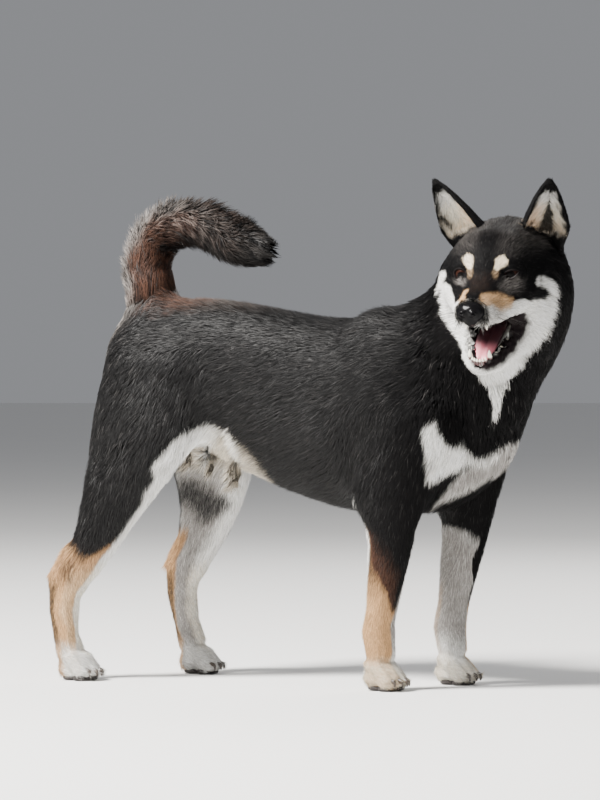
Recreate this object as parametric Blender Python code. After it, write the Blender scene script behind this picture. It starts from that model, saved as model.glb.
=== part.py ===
"""A black and tan shiba inu, life size, standing with its head turned to its right and its mouth open.

Metres, +Z up. X runs forward along the pelvis, Y to the dog's left. The body is modelled whole, as swept
forms that blend into one another, and is then parted into its named pieces by thin cuts.
"""

import math

import bmesh
import bpy
import numpy as np
from mathutils import Matrix, Vector

# Driving sizes
GAP = 0.0003  # between pieces that touch
RIGHT, LEFT = -1, 1
BEND = math.radians(-8)  # how far the spine turns between the loin and the withers
BEND_START = -0.17
HEAD_PLACE = Vector((0.123, -0.089, 0.4098))  # the point midway between the eyes
HEAD_TURN = math.radians(-84)
HEAD_NOD = math.radians(9)
HEAD_TILT = math.radians(-2.5)
EYE_RADIUS = 0.0098
EYE = Vector((-0.0065, 0.0235, 0.0))  # centre of the left eye, from HEAD_PLACE
EYE_TURN = math.radians(22)  # how far each eye looks outwards
JAW_JOINT = Vector((-0.058, 0.0, -0.032))
JAW_OPEN = math.radians(27)
TAIL_FOOT = 0.402  # height at which the tail parts from the rump
TAIL_ROOT = 0.0245
TAIL_CORE = 0.0125
TAIL_PARTS = (0.078, 0.145)  # distances along the tail
LOCK_ROWS = 11
LOCKS_ROUND = 7
LOCK_LENGTH = 0.044
LOCK_DEPTHS = (0.0026, 0.0026, 0.0018)
LID = 0.0022  # thickness of the eyelids
TOE_STEP = 0.0074
TOE_REACH = 0.0275
FORE_ANKLE = 0.062  # heights at which the legs part
HIND_ANKLE = 0.112
ELBOW = 0.178
STIFLE = 0.215

EARS = {  # side, base, tip and the way the cup faces
    "ear_right": (RIGHT, (-0.060, -0.0420, 0.029), (-0.048, -0.0675, 0.0845), (0.93, -0.42, 0.05)),
    "ear_left": (LEFT, (-0.060, 0.0430, 0.030), (-0.050, 0.0500, 0.0880), (0.93, 0.40, -0.05)),
}
EYE_OPENINGS = ((RIGHT, 0.0046), (LEFT, 0.0036))  # half the height between the lids
UPPER_GUM = -0.0400
LOWER_GUM = -0.0395
NAPE = (-0.0675, 0, -0.035)  # where the plane between the head and the neck crosses the middle
NAPE_WAY = (0.828, 0, 0.562)  # the way that plane faces
HEAD_BLOCK = (0.150, 0.23, 0.24)  # what is parted off in front of it
HEAD_BLOCK_LEFT = 0.007  # it reaches further to the left
SHOULDERS = 0.065  # where the neck, chest and loin begin, going back along the spine
RIBS_END = -0.130
LOIN_END = -0.200
GROIN_LOCKS = (  # along, out
    (-0.186, -0.030),
    (-0.192, -0.014),
    (-0.197, 0.004),
    (-0.214, -0.032),
    (-0.219, -0.018),
    (-0.224, 0.000),
    (-0.236, -0.026),
)
COAT_OF = {  # pieces that are not of the black coat
    "nose": "nose_leather",
    "eye_right": "eye",
    "eye_left": "eye",
    "tongue": "tongue",
    "jaw": "white_coat",
    "forefoot_right": "tan_coat",
    "forefoot_left": "tan_coat",
    "hindfoot_right": "tan_coat",
    "hindfoot_left": "tan_coat",
}
FEET = {  # along, side, out, turned out
    "forefoot_right": (0.004, RIGHT, 0.055, math.radians(4)),
    "forefoot_left": (0.020, LEFT, 0.055, math.radians(4)),
    "hindfoot_right": (-0.347, RIGHT, 0.068, math.radians(5)),
    "hindfoot_left": (-0.278, LEFT, 0.070, math.radians(5)),
}
UPPER_TEETH = (  # forward, out, height, half width; incisors, the canine, then premolars
    (0.0415, 0.0016, 0.0034, 0.0014),
    (0.0408, 0.0046, 0.0036, 0.0014),
    (0.0390, 0.0073, 0.0042, 0.0015),
    (0.0330, 0.0105, 0.0100, 0.0024),
    (0.0225, 0.0132, 0.0040, 0.0024),
    (0.0130, 0.0158, 0.0048, 0.0030),
    (0.0010, 0.0185, 0.0058, 0.0038),
)
LOWER_TEETH = (
    (0.0385, 0.0014, 0.0032, 0.0013),
    (0.0378, 0.0041, 0.0034, 0.0013),
    (0.0362, 0.0066, 0.0038, 0.0014),
    (0.0320, 0.0098, 0.0095, 0.0023),
    (0.0215, 0.0132, 0.0036, 0.0022),
    (0.0125, 0.0158, 0.0042, 0.0026),
    (0.0010, 0.0188, 0.0050, 0.0032),
)

# Colours of the pieces: colour and roughness
COATS = {
    "black_coat": ((0.022, 0.020, 0.020), 0.6),
    "tan_coat": ((0.52, 0.30, 0.15), 0.7),
    "white_coat": ((0.78, 0.74, 0.67), 0.7),
    "nose_leather": ((0.012, 0.012, 0.014), 0.3),
    "eye": ((0.055, 0.022, 0.010), 0.08),
    "tongue": ((0.62, 0.22, 0.24), 0.4),
}

FAR = 1.0
MARGIN = 0.05  # beyond this distance a form is left out of the sum


def spine(along):
    """(x, y, heading) of the spine at a distance along it from the withers, forward positive."""
    steps = 40
    x = y = 0.0
    step = along / steps

    def turn(s):
        t = min(1.0, max(0.0, (s - BEND_START) / -BEND_START))
        return BEND * t * t * (3 - 2 * t)

    for i in range(steps):
        heading = turn(step * (i + 0.5))
        x += math.cos(heading) * step
        y += math.sin(heading) * step
    return x, y, turn(along)


def at(along, side, height):
    """A point placed along the spine, to its left, and above the ground."""
    x, y, heading = spine(along)
    return Vector((x - side * math.sin(heading), y + side * math.cos(heading), height))


def left_of(along):
    """The way to the dog's left at a place along the spine."""
    return at(along, 1, 0) - at(along, 0, 0)


HEAD = (
    Matrix.Translation(HEAD_PLACE)
    @ Matrix.Rotation(HEAD_TURN, 4, "Z")
    @ Matrix.Rotation(HEAD_NOD, 4, "Y")
    @ Matrix.Rotation(HEAD_TILT, 4, "X")
)


def on_head(x, y, z):
    """A point given forward, left and up from midway between the eyes."""
    return HEAD @ Vector((x, y, z))


def on_jaw(x, y, z):
    """A point of the lower jaw, given as it would lie with the mouth closed."""
    turned = Matrix.Rotation(JAW_OPEN, 4, "Y") @ (Vector((x, y, z)) - JAW_JOINT)
    return HEAD @ (turned + JAW_JOINT)


def smooth_line(values, spans):
    """More stations along a Catmull-Rom curve through the given ones."""
    values = np.array(values, float)
    if spans == 1 or len(values) < 3:
        return values
    padded = np.vstack([2 * values[0] - values[1], values, 2 * values[-1] - values[-2]])
    line = []
    for i in range(len(values) - 1):
        a, b, c, d = padded[i : i + 4]
        for t in np.arange(spans) / spans:
            line.append(
                b
                + 0.5 * t * (c - a)
                + t * t * (a - 2.5 * b + 2 * c - 0.5 * d)
                + 0.5 * t**3 * (3 * b - 3 * c + d - a)
            )
    return np.array(line + [values[-1]])


class Form:
    """A closed form swept through stations, each a centre with its half width and half depth.

    across is the direction of the width. cap is how far each end reaches past its last centre.
    """

    def __init__(self, stations, across, cap=None, spans=3):
        rows = [[*centre, width, depth] for centre, width, depth in stations]
        line = smooth_line(rows, spans)
        self.centres, self.widths, self.depths = line[:, :3], line[:, 3], line[:, 4]
        self.across = np.array(across, float) / np.linalg.norm(across)
        self.caps = [cap or min(line[i, 3], line[i, 4]) for i in (0, -1)]
        reach = np.maximum(self.widths, self.depths)[:, None] + MARGIN
        self.low = (self.centres - reach).min(axis=0)
        self.high = (self.centres + reach).max(axis=0)

    def axes(self, run):
        """Unit vectors along, across and through the form where it runs that way."""
        run = run / np.linalg.norm(run)
        side = self.across - (self.across @ run) * run
        side /= np.linalg.norm(side)
        return run, side, np.cross(run, side)

    def distance(self, points):
        """About how far each point lies outside the form, negative inside."""
        found = np.full(len(points), FAR)
        near = np.all((points > self.low) & (points < self.high), axis=1)
        p = points[near]
        best = np.full(len(p), FAR)
        last = len(self.centres) - 2
        for i in range(last + 1):
            run = self.centres[i + 1] - self.centres[i]
            raw = (p - self.centres[i]) @ run / (run @ run)
            t = np.clip(raw, 0, 1)
            off = p - self.centres[i] - t[:, None] * run
            along, side, through = self.axes(run)
            width = self.widths[i] + t * (self.widths[i + 1] - self.widths[i])
            depth = self.depths[i] + t * (self.depths[i + 1] - self.depths[i])
            small = np.minimum(width, depth)
            cap = small.copy()
            if i == 0:
                cap[raw < 0] = self.caps[0]
            if i == last:
                cap[raw > 1] = self.caps[1]
            ratio = np.sqrt(
                (off @ side / width) ** 2 + (off @ through / depth) ** 2 + (off @ along / cap) ** 2
            )
            size = np.linalg.norm(off, axis=1)
            outside = np.where(ratio > 1e-6, size * (1 - 1 / np.maximum(ratio, 1e-6)), -small)
            best = np.minimum(best, np.maximum(outside, -small))
        found[near] = best
        return found

    def mesh_into(self, bm, sides=14, rounds=3):
        """Adds the form to bm as a loft with rounded ends, each of a few rings."""
        count = len(self.centres)
        runs = np.gradient(self.centres, axis=0)
        rings = []
        for end, cap in ((0, self.caps[0]), (count - 1, self.caps[1])):
            along = self.axes(runs[end])[0] * (1 if end else -1)
            steps = [(math.sin(a), math.cos(a)) for a in np.linspace(0, math.pi / 2, rounds + 1)[1:]]
            ends = [(self.centres[end] + along * cap * s, c, end) for s, c in steps]
            middle = [(self.centres[i], 1.0, i) for i in range(count)]
            rings = ends[::-1] + middle if end == 0 else rings + ends
        loops = []
        for centre, scale, i in rings:
            if scale < 1e-6:
                loops.append([bm.verts.new(centre)])
                continue
            _, side, through = self.axes(runs[i])
            loops.append(
                [
                    bm.verts.new(
                        centre
                        + side * math.cos(a) * self.widths[i] * scale
                        + through * math.sin(a) * self.depths[i] * scale
                    )
                    for a in np.arange(sides) * 2 * math.pi / sides
                ]
            )
        for one, two in zip(loops, loops[1:]):
            for k in range(sides):
                n = (k + 1) % sides
                corners = [one[k % len(one)], one[n % len(one)], two[n % len(two)], two[k % len(two)]]
                bm.faces.new(list(dict.fromkeys(corners)))


def ball(centre, radii, axis, across):
    """An ellipsoid: radii are along axis, across, and through."""
    centre, axis = Vector(centre), Vector(axis).normalized() * 0.0005
    along, width, depth = radii
    return Form([(centre - axis, width, depth), (centre + axis, width, depth)], across, cap=along)


def blended(points, forms):
    """The distance to a smooth union of (form, blend radius) pairs."""
    total = np.full(len(points), FAR)
    for form, radius in forms:
        distance = form.distance(points)
        h = np.clip(0.5 + 0.5 * (total - distance) / radius, 0, 1)
        total = total + (distance - total) * h - radius * h * (1 - h)
    return total


def settle(points, forms, rounds=4):
    """Moves points onto the surface of the blended forms, by Newton's method."""
    step = 0.0004
    for _ in range(rounds):
        here = blended(points, forms)
        slope = np.stack(
            [
                (blended(points + e, forms) - blended(points - e, forms)) / (2 * step)
                for e in np.eye(3) * step
            ],
            axis=1,
        )
        steep = np.maximum((slope**2).sum(axis=1), 0.1)
        move = np.clip(here / steep, -0.006, 0.006)
        points = points - slope * move[:, None]
    return points


def new_object(name, mesh):
    obj = bpy.data.objects.new(name, mesh)
    bpy.context.scene.collection.objects.link(obj)
    return obj


def apply_modifiers(obj):
    """Makes what the modifiers show the object's own mesh."""
    graph = bpy.context.evaluated_depsgraph_get()
    made = bpy.data.meshes.new_from_object(obj.evaluated_get(graph))
    obj.modifiers.clear()
    old, obj.data = obj.data, made
    bpy.data.meshes.remove(old)


def skin(name, shown, forms, voxel, triangles):
    """One closed mesh of the shown forms, settled on the blend of all forms."""
    bm = bmesh.new()
    for form in shown:
        form.mesh_into(bm)
    bmesh.ops.recalc_face_normals(bm, faces=bm.faces)
    mesh = bpy.data.meshes.new(name)
    bm.to_mesh(mesh)
    bm.free()
    obj = new_object(name, mesh)
    remesh = obj.modifiers.new("Remesh", "REMESH")
    remesh.mode = "VOXEL"
    remesh.voxel_size = voxel
    apply_modifiers(obj)
    points = np.empty(len(obj.data.vertices) * 3, np.float32)
    obj.data.vertices.foreach_get("co", points)
    settled = settle(points.reshape(-1, 3).astype(float), forms)
    obj.data.vertices.foreach_set("co", settled.astype(np.float32).ravel())
    even = obj.modifiers.new("Even", "SMOOTH")
    even.factor = 0.5
    even.iterations = 1
    thin = obj.modifiers.new("Thin", "DECIMATE")
    obj.data.calc_loop_triangles()
    thin.ratio = min(1.0, triangles / len(obj.data.loop_triangles))
    apply_modifiers(obj)
    return obj


def boolean(obj, other, operation, solver="EXACT"):
    """Cuts or joins by another object, or by a whole collection of closed ones."""
    cut = obj.modifiers.new(operation.title(), "BOOLEAN")
    cut.operation = operation
    cut.solver = solver
    if isinstance(other, bpy.types.Collection):
        cut.operand_type = "COLLECTION"
        cut.collection = other
    else:
        cut.object = other
    apply_modifiers(obj)


def remove(*objects):
    for obj in objects:
        bpy.data.objects.remove(obj)


def copy(obj, name):
    made = new_object(name, obj.data.copy())
    made.matrix_world = obj.matrix_world
    return made


def block(name, place, size, turn=None):
    """A box cutter of full sizes, turned about its place."""
    bm = bmesh.new()
    bmesh.ops.create_cube(bm, size=1.0, matrix=Matrix.Diagonal((*size, 1.0)))
    matrix = Matrix.Translation(place) @ (turn or Matrix.Identity(4))
    bmesh.ops.transform(bm, matrix=matrix, verts=bm.verts)
    mesh = bpy.data.meshes.new(name)
    bm.to_mesh(mesh)
    bm.free()
    return new_object(name, mesh)


def torso_forms(first=0):
    """The trunk, as (along the spine, top, bottom, half width)."""
    profile = (
        (-0.303, 0.362, 0.288, 0.034),
        (-0.292, 0.382, 0.268, 0.050),
        (-0.250, 0.3925, 0.246, 0.060),
        (-0.200, 0.3895, 0.228, 0.060),
        (-0.147, 0.3805, 0.2045, 0.064),
        (-0.100, 0.3735, 0.1865, 0.069),
        (-0.050, 0.3725, 0.1735, 0.072),
        (0.000, 0.3765, 0.1715, 0.071),
        (0.040, 0.3700, 0.1765, 0.066),
        (0.070, 0.3450, 0.1950, 0.056),
        (0.087, 0.3200, 0.2150, 0.044),
    )
    stations = [
        (at(s, 0, (top + bottom) / 2), width, (top - bottom) / 2)
        for s, top, bottom, width in profile[first:]
    ]
    return [(Form(stations, at(0, 1, 0) - at(0, 0, 0), cap=0.012), 0.02)]


def neck_forms():
    """The neck rises from between the shoulders and turns towards the head."""
    stations = [
        (at(0.010, 0.002, 0.300), 0.068, 0.075),
        (at(0.052, 0.005, 0.320), 0.070, 0.075),
        (Vector((0.090, -0.003, 0.355)), 0.071, 0.072),
        (Vector((0.113, -0.010, 0.389)), 0.067, 0.065),
        (on_head(-0.078, 0.002, -0.010), 0.055, 0.050),
    ]
    return [(Form(stations, (0.35, 1, 0)), 0.03)]


def head_forms():
    """The skull, muzzle, cheeks and throat, and the lower jaw as it hangs open."""
    left = HEAD.to_3x3() @ Vector((0, 1, 0))
    forward = HEAD.to_3x3() @ Vector((1, 0, 0))
    skull = [(on_head(-0.072, 0, 0.006), 0.050, 0.040), (on_head(-0.030, 0, 0.004), 0.042, 0.035)]
    forehead = [(on_head(-0.030, 0, 0.009), 0.033, 0.025), (on_head(0.001, 0, -0.010), 0.021, 0.015)]
    muzzle = [
        (on_head(-0.010, 0, -0.018), 0.028, 0.017),
        (on_head(0.018, 0, -0.0235), 0.0215, 0.0145),
        (on_head(0.042, 0, -0.0270), 0.0165, 0.0125),
    ]
    forms = [(Form(skull, left), 0.02), (Form(forehead, left), 0.02), (Form(muzzle, left), 0.016)]
    for side in (RIGHT, LEFT):
        brow = ball(on_head(-0.010, side * 0.021, 0.010), (0.012, 0.013, 0.009), forward, left)
        lip = [
            (on_head(0.043, side * 0.0085, -0.0335), 0.0085, 0.0085),
            (on_head(0.018, side * 0.0165, -0.0345), 0.0110, 0.0110),
            (on_head(-0.012, side * 0.0280, -0.0245), 0.0125, 0.0130),
        ]
        cheek = [
            (on_head(-0.012, side * 0.026, -0.016), 0.016, 0.018),
            (on_head(-0.046, side * 0.036, -0.016), 0.025, 0.030),
            (on_head(-0.070, side * 0.034, -0.020), 0.026, 0.034),
        ]
        ruff = ball(on_head(-0.052, side * 0.034, -0.046), (0.028, 0.024, 0.026), forward, left)
        jaw = [
            (on_jaw(-0.050, side * 0.031, -0.044), 0.016, 0.020),
            (on_jaw(-0.012, side * 0.0225, -0.0465), 0.0125, 0.0140),
            (on_jaw(0.024, side * 0.0130, -0.0475), 0.0095, 0.0105),
        ]
        forms += [(brow, 0.010), (Form(lip, left), 0.010), (Form(cheek, left), 0.016)]
        forms += [(ruff, 0.020), (Form(jaw, left), 0.012)]
    chin = [(on_jaw(-0.010, 0, -0.054), 0.017, 0.011), (on_jaw(0.034, 0, -0.0475), 0.0140, 0.0095)]
    throat = [(on_jaw(-0.005, 0, -0.058), 0.020, 0.014), (on_head(-0.060, 0, -0.056), 0.044, 0.034)]
    return forms + [(Form(chin, left), 0.010), (Form(throat, left), 0.024)]


def spike(bm, points, widths, depths, across, sides=6):
    """A closed, tapered form from a flat root to a sharp tip, for a claw, a tooth or a lock."""
    points = [Vector(point) for point in points]
    rings = []
    for i, point in enumerate(points[:-1]):
        run = (points[i + 1] - points[max(i - 1, 0)]).normalized()
        side = (across - across.dot(run) * run).normalized()
        through = run.cross(side)
        rings.append(
            [
                bm.verts.new(
                    point + side * math.cos(a) * widths[i] + through * math.sin(a) * depths[i]
                )
                for a in np.arange(sides) * 2 * math.pi / sides
            ]
        )
    tip = bm.verts.new(points[-1])
    bm.faces.new(rings[0][::-1])
    for one, two in zip(rings, rings[1:]):
        for k in range(sides):
            n = (k + 1) % sides
            bm.faces.new([one[k], one[n], two[n], two[k]])
    for k in range(sides):
        bm.faces.new([rings[-1][k], rings[-1][(k + 1) % sides], tip])


def meshed(name, build):
    """A new object whose mesh the given function builds."""
    bm = bmesh.new()
    build(bm)
    bmesh.ops.recalc_face_normals(bm, faces=bm.faces)
    mesh = bpy.data.meshes.new(name)
    bm.to_mesh(mesh)
    bm.free()
    return new_object(name, mesh)


def loft(name, form, sides=14, rounds=3):
    return meshed(name, lambda bm: form.mesh_into(bm, sides, rounds))


def keep_largest(obj):
    """Drops whatever small scraps a cut or a union has left loose."""
    bm = bmesh.new()
    bm.from_mesh(obj.data)
    left = set(bm.verts)
    groups = []
    while left:
        found = []
        waiting = [left.pop()]
        while waiting:
            vert = waiting.pop()
            found.append(vert)
            for edge in vert.link_edges:
                other = edge.other_vert(vert)
                if other in left:
                    left.discard(other)
                    waiting.append(other)
        groups.append(found)
    groups.sort(key=len)
    scraps = [vert for group in groups[:-1] for vert in group]
    bmesh.ops.delete(bm, geom=scraps, context="VERTS")
    bm.to_mesh(obj.data)
    bm.free()


def add(obj, builds):
    """Fuses many small forms into an object. They cross one another, which the EXACT solver fails on."""
    forms = bpy.data.collections.new("forms")
    for build in builds:
        form = meshed("form", build)
        bpy.context.scene.collection.objects.unlink(form)
        forms.objects.link(form)
    bpy.context.scene.collection.children.link(forms)
    boolean(obj, forms, "UNION", "MANIFOLD")
    remove(*forms.objects)
    bpy.data.collections.remove(forms)
    keep_largest(obj)


def cut_away(obj, *cutters, solver="EXACT"):
    for cutter in cutters:
        boolean(obj, cutter, "DIFFERENCE", solver)
        remove(cutter)


def facing(normal):
    """The turn that brings +Z to the given direction."""
    return Vector(normal).to_track_quat("Z", "Y").to_matrix().to_4x4()


def part_off(whole, name, place, size, turn=None, solver="EXACT"):
    """Takes the piece of the whole within a block as its own node, with a thin gap all round."""
    piece = copy(whole, name)
    within = block("within", place, size, turn)
    boolean(piece, within, "INTERSECT", solver)
    cut_away(whole, block("around", place, [v + 2 * GAP for v in size], turn), solver=solver)
    remove(within)
    keep_largest(piece)
    keep_largest(whole)
    return piece


def beyond(whole, name, place, normal, solver="EXACT"):
    """Takes the piece of the whole on the far side of a plane as its own node."""
    normal = Vector(normal).normalized()
    return part_off(whole, name, Vector(place) + normal * 0.5, (1.0, 1.0, 1.0), facing(normal), solver)


FORELEG = (  # along, out, height, half width, half depth
    (0.058, 0.056, 0.262, 0.026, 0.034),
    (0.027, 0.058, 0.213, 0.0265, 0.041),
    (0.018, 0.058, 0.172, 0.0235, 0.0300),
    (0.0165, 0.057, 0.148, 0.0215, 0.0247),
    (0.0120, 0.056, 0.124, 0.0200, 0.0218),
    (0.0050, 0.055, 0.083, 0.0172, 0.0169),
    (0.0010, 0.055, 0.060, 0.0178, 0.0172),
    (0.0035, 0.055, 0.038, 0.0165, 0.0155),
)
HINDLEG_BACK = (  # the right leg, which stands back
    (-0.2635, 0.036, 0.312, 0.034, 0.0570),
    (-0.2745, 0.047, 0.270, 0.033, 0.0630),
    (-0.2940, 0.053, 0.220, 0.029, 0.0485),
    (-0.3135, 0.058, 0.175, 0.0245, 0.0340),
    (-0.331, 0.063, 0.134, 0.0195, 0.0240),
    (-0.352, 0.066, 0.106, 0.0165, 0.0205),
    (-0.3600, 0.067, 0.082, 0.0150, 0.0178),
    (-0.3580, 0.068, 0.050, 0.0145, 0.0148),
    (-0.3540, 0.068, 0.034, 0.0160, 0.0150),
)
HINDLEG_FORWARD = (  # the left leg, which stands forward
    (-0.258, 0.036, 0.318, 0.034, 0.056),
    (-0.252, 0.047, 0.262, 0.033, 0.056),
    (-0.252, 0.054, 0.215, 0.030, 0.047),
    (-0.259, 0.060, 0.172, 0.0250, 0.0340),
    (-0.276, 0.065, 0.132, 0.0195, 0.0240),
    (-0.292, 0.069, 0.106, 0.0165, 0.0213),
    (-0.2945, 0.070, 0.083, 0.0150, 0.0170),
    (-0.2900, 0.070, 0.058, 0.0142, 0.0145),
    (-0.2840, 0.070, 0.036, 0.0160, 0.0155),
)


def leg_form(stations, side, shift=0.0):
    """A leg through its stations. shift moves it forward from the elbow down."""
    placed = []
    for along, out, height, width, depth in stations:
        lower = min(1.0, max(0.0, (0.26 - height) / 0.08))
        placed.append((at(along + shift * lower, side * out, height), width, depth))
    return Form(placed, at(0, 1, 0) - at(0, 0, 0))


def shoulder_forms(side):
    """The shoulder blade's muscles, and the upper arm from the point of the shoulder to the elbow."""
    across = at(0, 1, 0) - at(0, 0, 0)
    blade = Form(
        [
            (at(-0.020, side * 0.034, 0.352), 0.020, 0.030),
            (at(0.020, side * 0.048, 0.305), 0.026, 0.036),
            (at(0.058, side * 0.052, 0.262), 0.026, 0.032),
        ],
        across,
    )
    elbow = ball(at(-0.012, side * 0.060, 0.196), (0.016, 0.014, 0.012), (0, 0, 1), across)
    return [(blade, 0.024), (elbow, 0.016)]


def hind_forms(side, stations):
    """The thigh down to the hock, with the point of the hock at the back."""
    across = at(-0.3, 1, 0) - at(-0.3, 0, 0)
    forms = [(leg_form(stations, side), 0.026)]
    along, out, height, _, _ = stations[5]
    hock = Form(
        [
            (at(along - 0.002, side * out, height + 0.024), 0.0085, 0.0090),
            (at(along - 0.0165, side * out, height - 0.001), 0.0085, 0.0090),
        ],
        across,
    )
    return forms + [(hock, 0.014)]


def foot_frame(along, side, out, turn):
    """A function from forward, outward and up within a foot to the model's frame."""
    heading = spine(along)[2] + side * turn
    base = at(along, side * out, 0)
    forward = Vector((math.cos(heading), math.sin(heading), 0))
    outward = Vector((-math.sin(heading), math.cos(heading), 0)) * side
    return lambda x, y, z: base + forward * x + outward * y + Vector((0, 0, z)), outward


def toes():
    """(offset to the outside, reach) of each toe."""
    return [(k * TOE_STEP, TOE_REACH - abs(k) * 0.0036) for k in (-1.5, -0.5, 0.5, 1.5)]


def foot_forms(place, outward):
    """A compact foot: the pad and four arched toes."""
    heel = ball(place(-0.003, 0, 0.0125), (0.0165, 0.0160, 0.0135), outward.cross((0, 0, 1)), outward)
    forms = [(heel, 0.008)]
    for out, reach in toes():
        toe = [
            (place(-0.006, out * 0.7, 0.026), 0.0085, 0.0085),
            (place(reach - 0.019, out, 0.0215), 0.0084, 0.0096),
            (place(reach - 0.007, out * 1.08, 0.0088), 0.0076, 0.0094),
        ]
        forms.append((Form(toe, outward), 0.0022))
    return forms


def claws(place, outward):
    builds = []
    for out, reach in toes():
        line = [
            place(reach - 0.008, out * 1.08, 0.0120),
            place(reach + 0.0015, out * 1.09, 0.0105),
            place(reach + 0.0065, out * 1.10, 0.0065),
            place(reach + 0.0082, out * 1.10, 0.0020),
        ]
        widths, depths = (0.0022, 0.0021, 0.0014), (0.0030, 0.0027, 0.0017)
        builds.append(lambda bm, a=line, b=widths, c=depths: spike(bm, a, b, c, outward))
    return builds


def ear(name, side, base, tip, face):
    """A pricked ear in the head's frame, with its cup hollowed out from the front."""
    base, tip, face = Vector(base), Vector(tip), Vector(face).normalized()
    run = (tip - base).normalized()
    across = run.cross(face)
    rows = (  # how far up, half width, half depth
        (-0.12, 0.0270, 0.0150),
        (0.12, 0.0258, 0.0140),
        (0.35, 0.0222, 0.0112),
        (0.62, 0.0162, 0.0078),
        (0.84, 0.0100, 0.0046),
        (0.96, 0.0052, 0.0027),
    )
    length = (tip - base).length

    def station(up, width, depth, forward):
        centre = base + run * up * length + face * (forward - 0.35 * depth)
        return HEAD @ centre, width, depth

    shell = Form([station(*row, 0.0) for row in rows], HEAD.to_3x3() @ across, cap=0.0035, spans=1)
    hollow = [station(u, w - 0.0042, d, 0.6 * d + 0.0012) for u, w, d in rows[:-1]]
    cup = Form(hollow, HEAD.to_3x3() @ across, cap=0.003, spans=1)
    obj = loft(name, shell, 14, 2)
    cut_away(obj, loft("cup", cup, 12, 2))
    return obj


def in_eye(side, forward, outward, up):
    """A point given from the middle of an eye, along the way it looks."""
    x = forward * math.cos(EYE_TURN) - outward * math.sin(EYE_TURN)
    y = forward * math.sin(EYE_TURN) + outward * math.cos(EYE_TURN)
    return on_head(EYE.x + x, side * (EYE.y + y), EYE.z + up)


def eyeball(name, side, radius):
    def build(bm):
        centre = Matrix.Translation(in_eye(side, 0, 0, 0))
        bmesh.ops.create_icosphere(bm, subdivisions=2, radius=radius, matrix=centre)

    return meshed(name, build)


def eye_opening(side, height):
    """The almond between the lids, higher at its outer corner."""
    rows = (  # outwards, up, share of the height
        (-0.0080, -0.0026, 0.10),
        (-0.0040, -0.0008, 0.80),
        (0.0015, 0.0004, 1.00),
        (0.0055, 0.0016, 0.62),
        (0.0082, 0.0028, 0.12),
    )
    stations = [(in_eye(side, 0.0165, out, up), 0.0105, height * share) for out, up, share in rows]
    across = in_eye(side, 1, 0, 0) - in_eye(side, 0, 0, 0)
    return loft("opening", Form(stations, across, cap=0.0004, spans=2), 12)


def nose():
    left = HEAD.to_3x3() @ Vector((0, 1, 0))
    forward = HEAD.to_3x3() @ Vector((1, 0, 0))
    forms = [
        (ball(on_head(0.0510, 0, -0.0285), (0.0105, 0.0132, 0.0088), forward, left), 0.006),
        (ball(on_head(0.0515, 0, -0.0370), (0.0050, 0.0068, 0.0066), forward, left), 0.006),
    ]
    for side in (RIGHT, LEFT):
        wing = ball(on_head(0.0515, side * 0.0078, -0.0310), (0.0075, 0.0052, 0.0062), forward, left)
        forms.append((wing, 0.003))
    obj = skin("nose", [form for form, _ in forms], forms, 0.0012, 150)
    for side in (RIGHT, LEFT):
        hole = [
            (on_head(0.0665, side * 0.0050, -0.0300), 0.0025, 0.0029),
            (on_head(0.0560, side * 0.0060, -0.0305), 0.0021, 0.0025),
        ]
        slit = [
            (on_head(0.0625, side * 0.0068, -0.0322), 0.0008, 0.0012),
            (on_head(0.0570, side * 0.0160, -0.0345), 0.0008, 0.0016),
        ]
        cut_away(obj, loft("nostril", Form(hole, left, spans=1), 8))
        cut_away(obj, loft("slit", Form(slit, forward, spans=1), 6))
    return obj


def tongue(name, grow):
    """Lies in the floor of the mouth, its tip just behind the lower teeth."""
    rows = (
        (-0.036, -0.0420, 0.0120, 0.0050),
        (-0.024, -0.0408, 0.0130, 0.0058),
        (-0.008, -0.0400, 0.0125, 0.0052),
        (0.012, -0.0410, 0.0115, 0.0044),
        (0.025, -0.0425, 0.0100, 0.0036),
    )
    stations = [(on_jaw(x, 0, z), width + grow, depth + grow) for x, z, width, depth in rows]
    return loft(name, Form(stations, HEAD.to_3x3() @ Vector((0, 1, 0)), spans=1), 12, 2)


def mouth():
    """The hollow between the palate and the floor of the mouth."""
    rows = (
        (-0.046, -0.0480, 0.0165, 0.0085),
        (-0.020, -0.0520, 0.0235, 0.0125),
        (0.009, -0.0605, 0.0170, 0.0205),
        (0.035, -0.0665, 0.0100, 0.0265),
    )
    stations = [(on_head(x, 0, z), width, depth) for x, z, width, depth in rows]
    return loft("mouth", Form(stations, HEAD.to_3x3() @ Vector((0, 1, 0))), 16)


def teeth(place, arch, level, up):
    """(across, forward, height) rows of teeth on both sides, rooted in the gum."""
    builds = []
    for side in (RIGHT, LEFT):
        for x, y, height, width in arch:
            root = place(x, side * y, level - up * 0.004)
            middle = place(x, side * y, level + up * height * 0.45)
            tip = place(x - 0.0006, side * y * 1.01, level + up * height)
            widths, depths = (width, width * 0.8), (width, width * 0.8)
            across = HEAD.to_3x3() @ Vector((1, 0, 0))
            line = [root, middle, tip]
            builds.append(lambda bm, a=line, b=widths, c=depths, d=across: spike(bm, a, b, c, d, 5))
    return builds


def body_forms():
    forms = torso_forms() + neck_forms()
    root = [(at(-0.285, 0, 0.366), 0.026, 0.026), (at(-0.2995, 0, 0.412), 0.0265, 0.0265)]
    forms.append((Form(root, left_of(-0.3)), 0.022))
    for side, stations, step in ((RIGHT, HINDLEG_BACK, 0.0), (LEFT, HINDLEG_FORWARD, 0.016)):
        forms += shoulder_forms(side)
        forms.append((leg_form(FORELEG, side, step), 0.022))
        forms += hind_forms(side, stations)
    return forms


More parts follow.
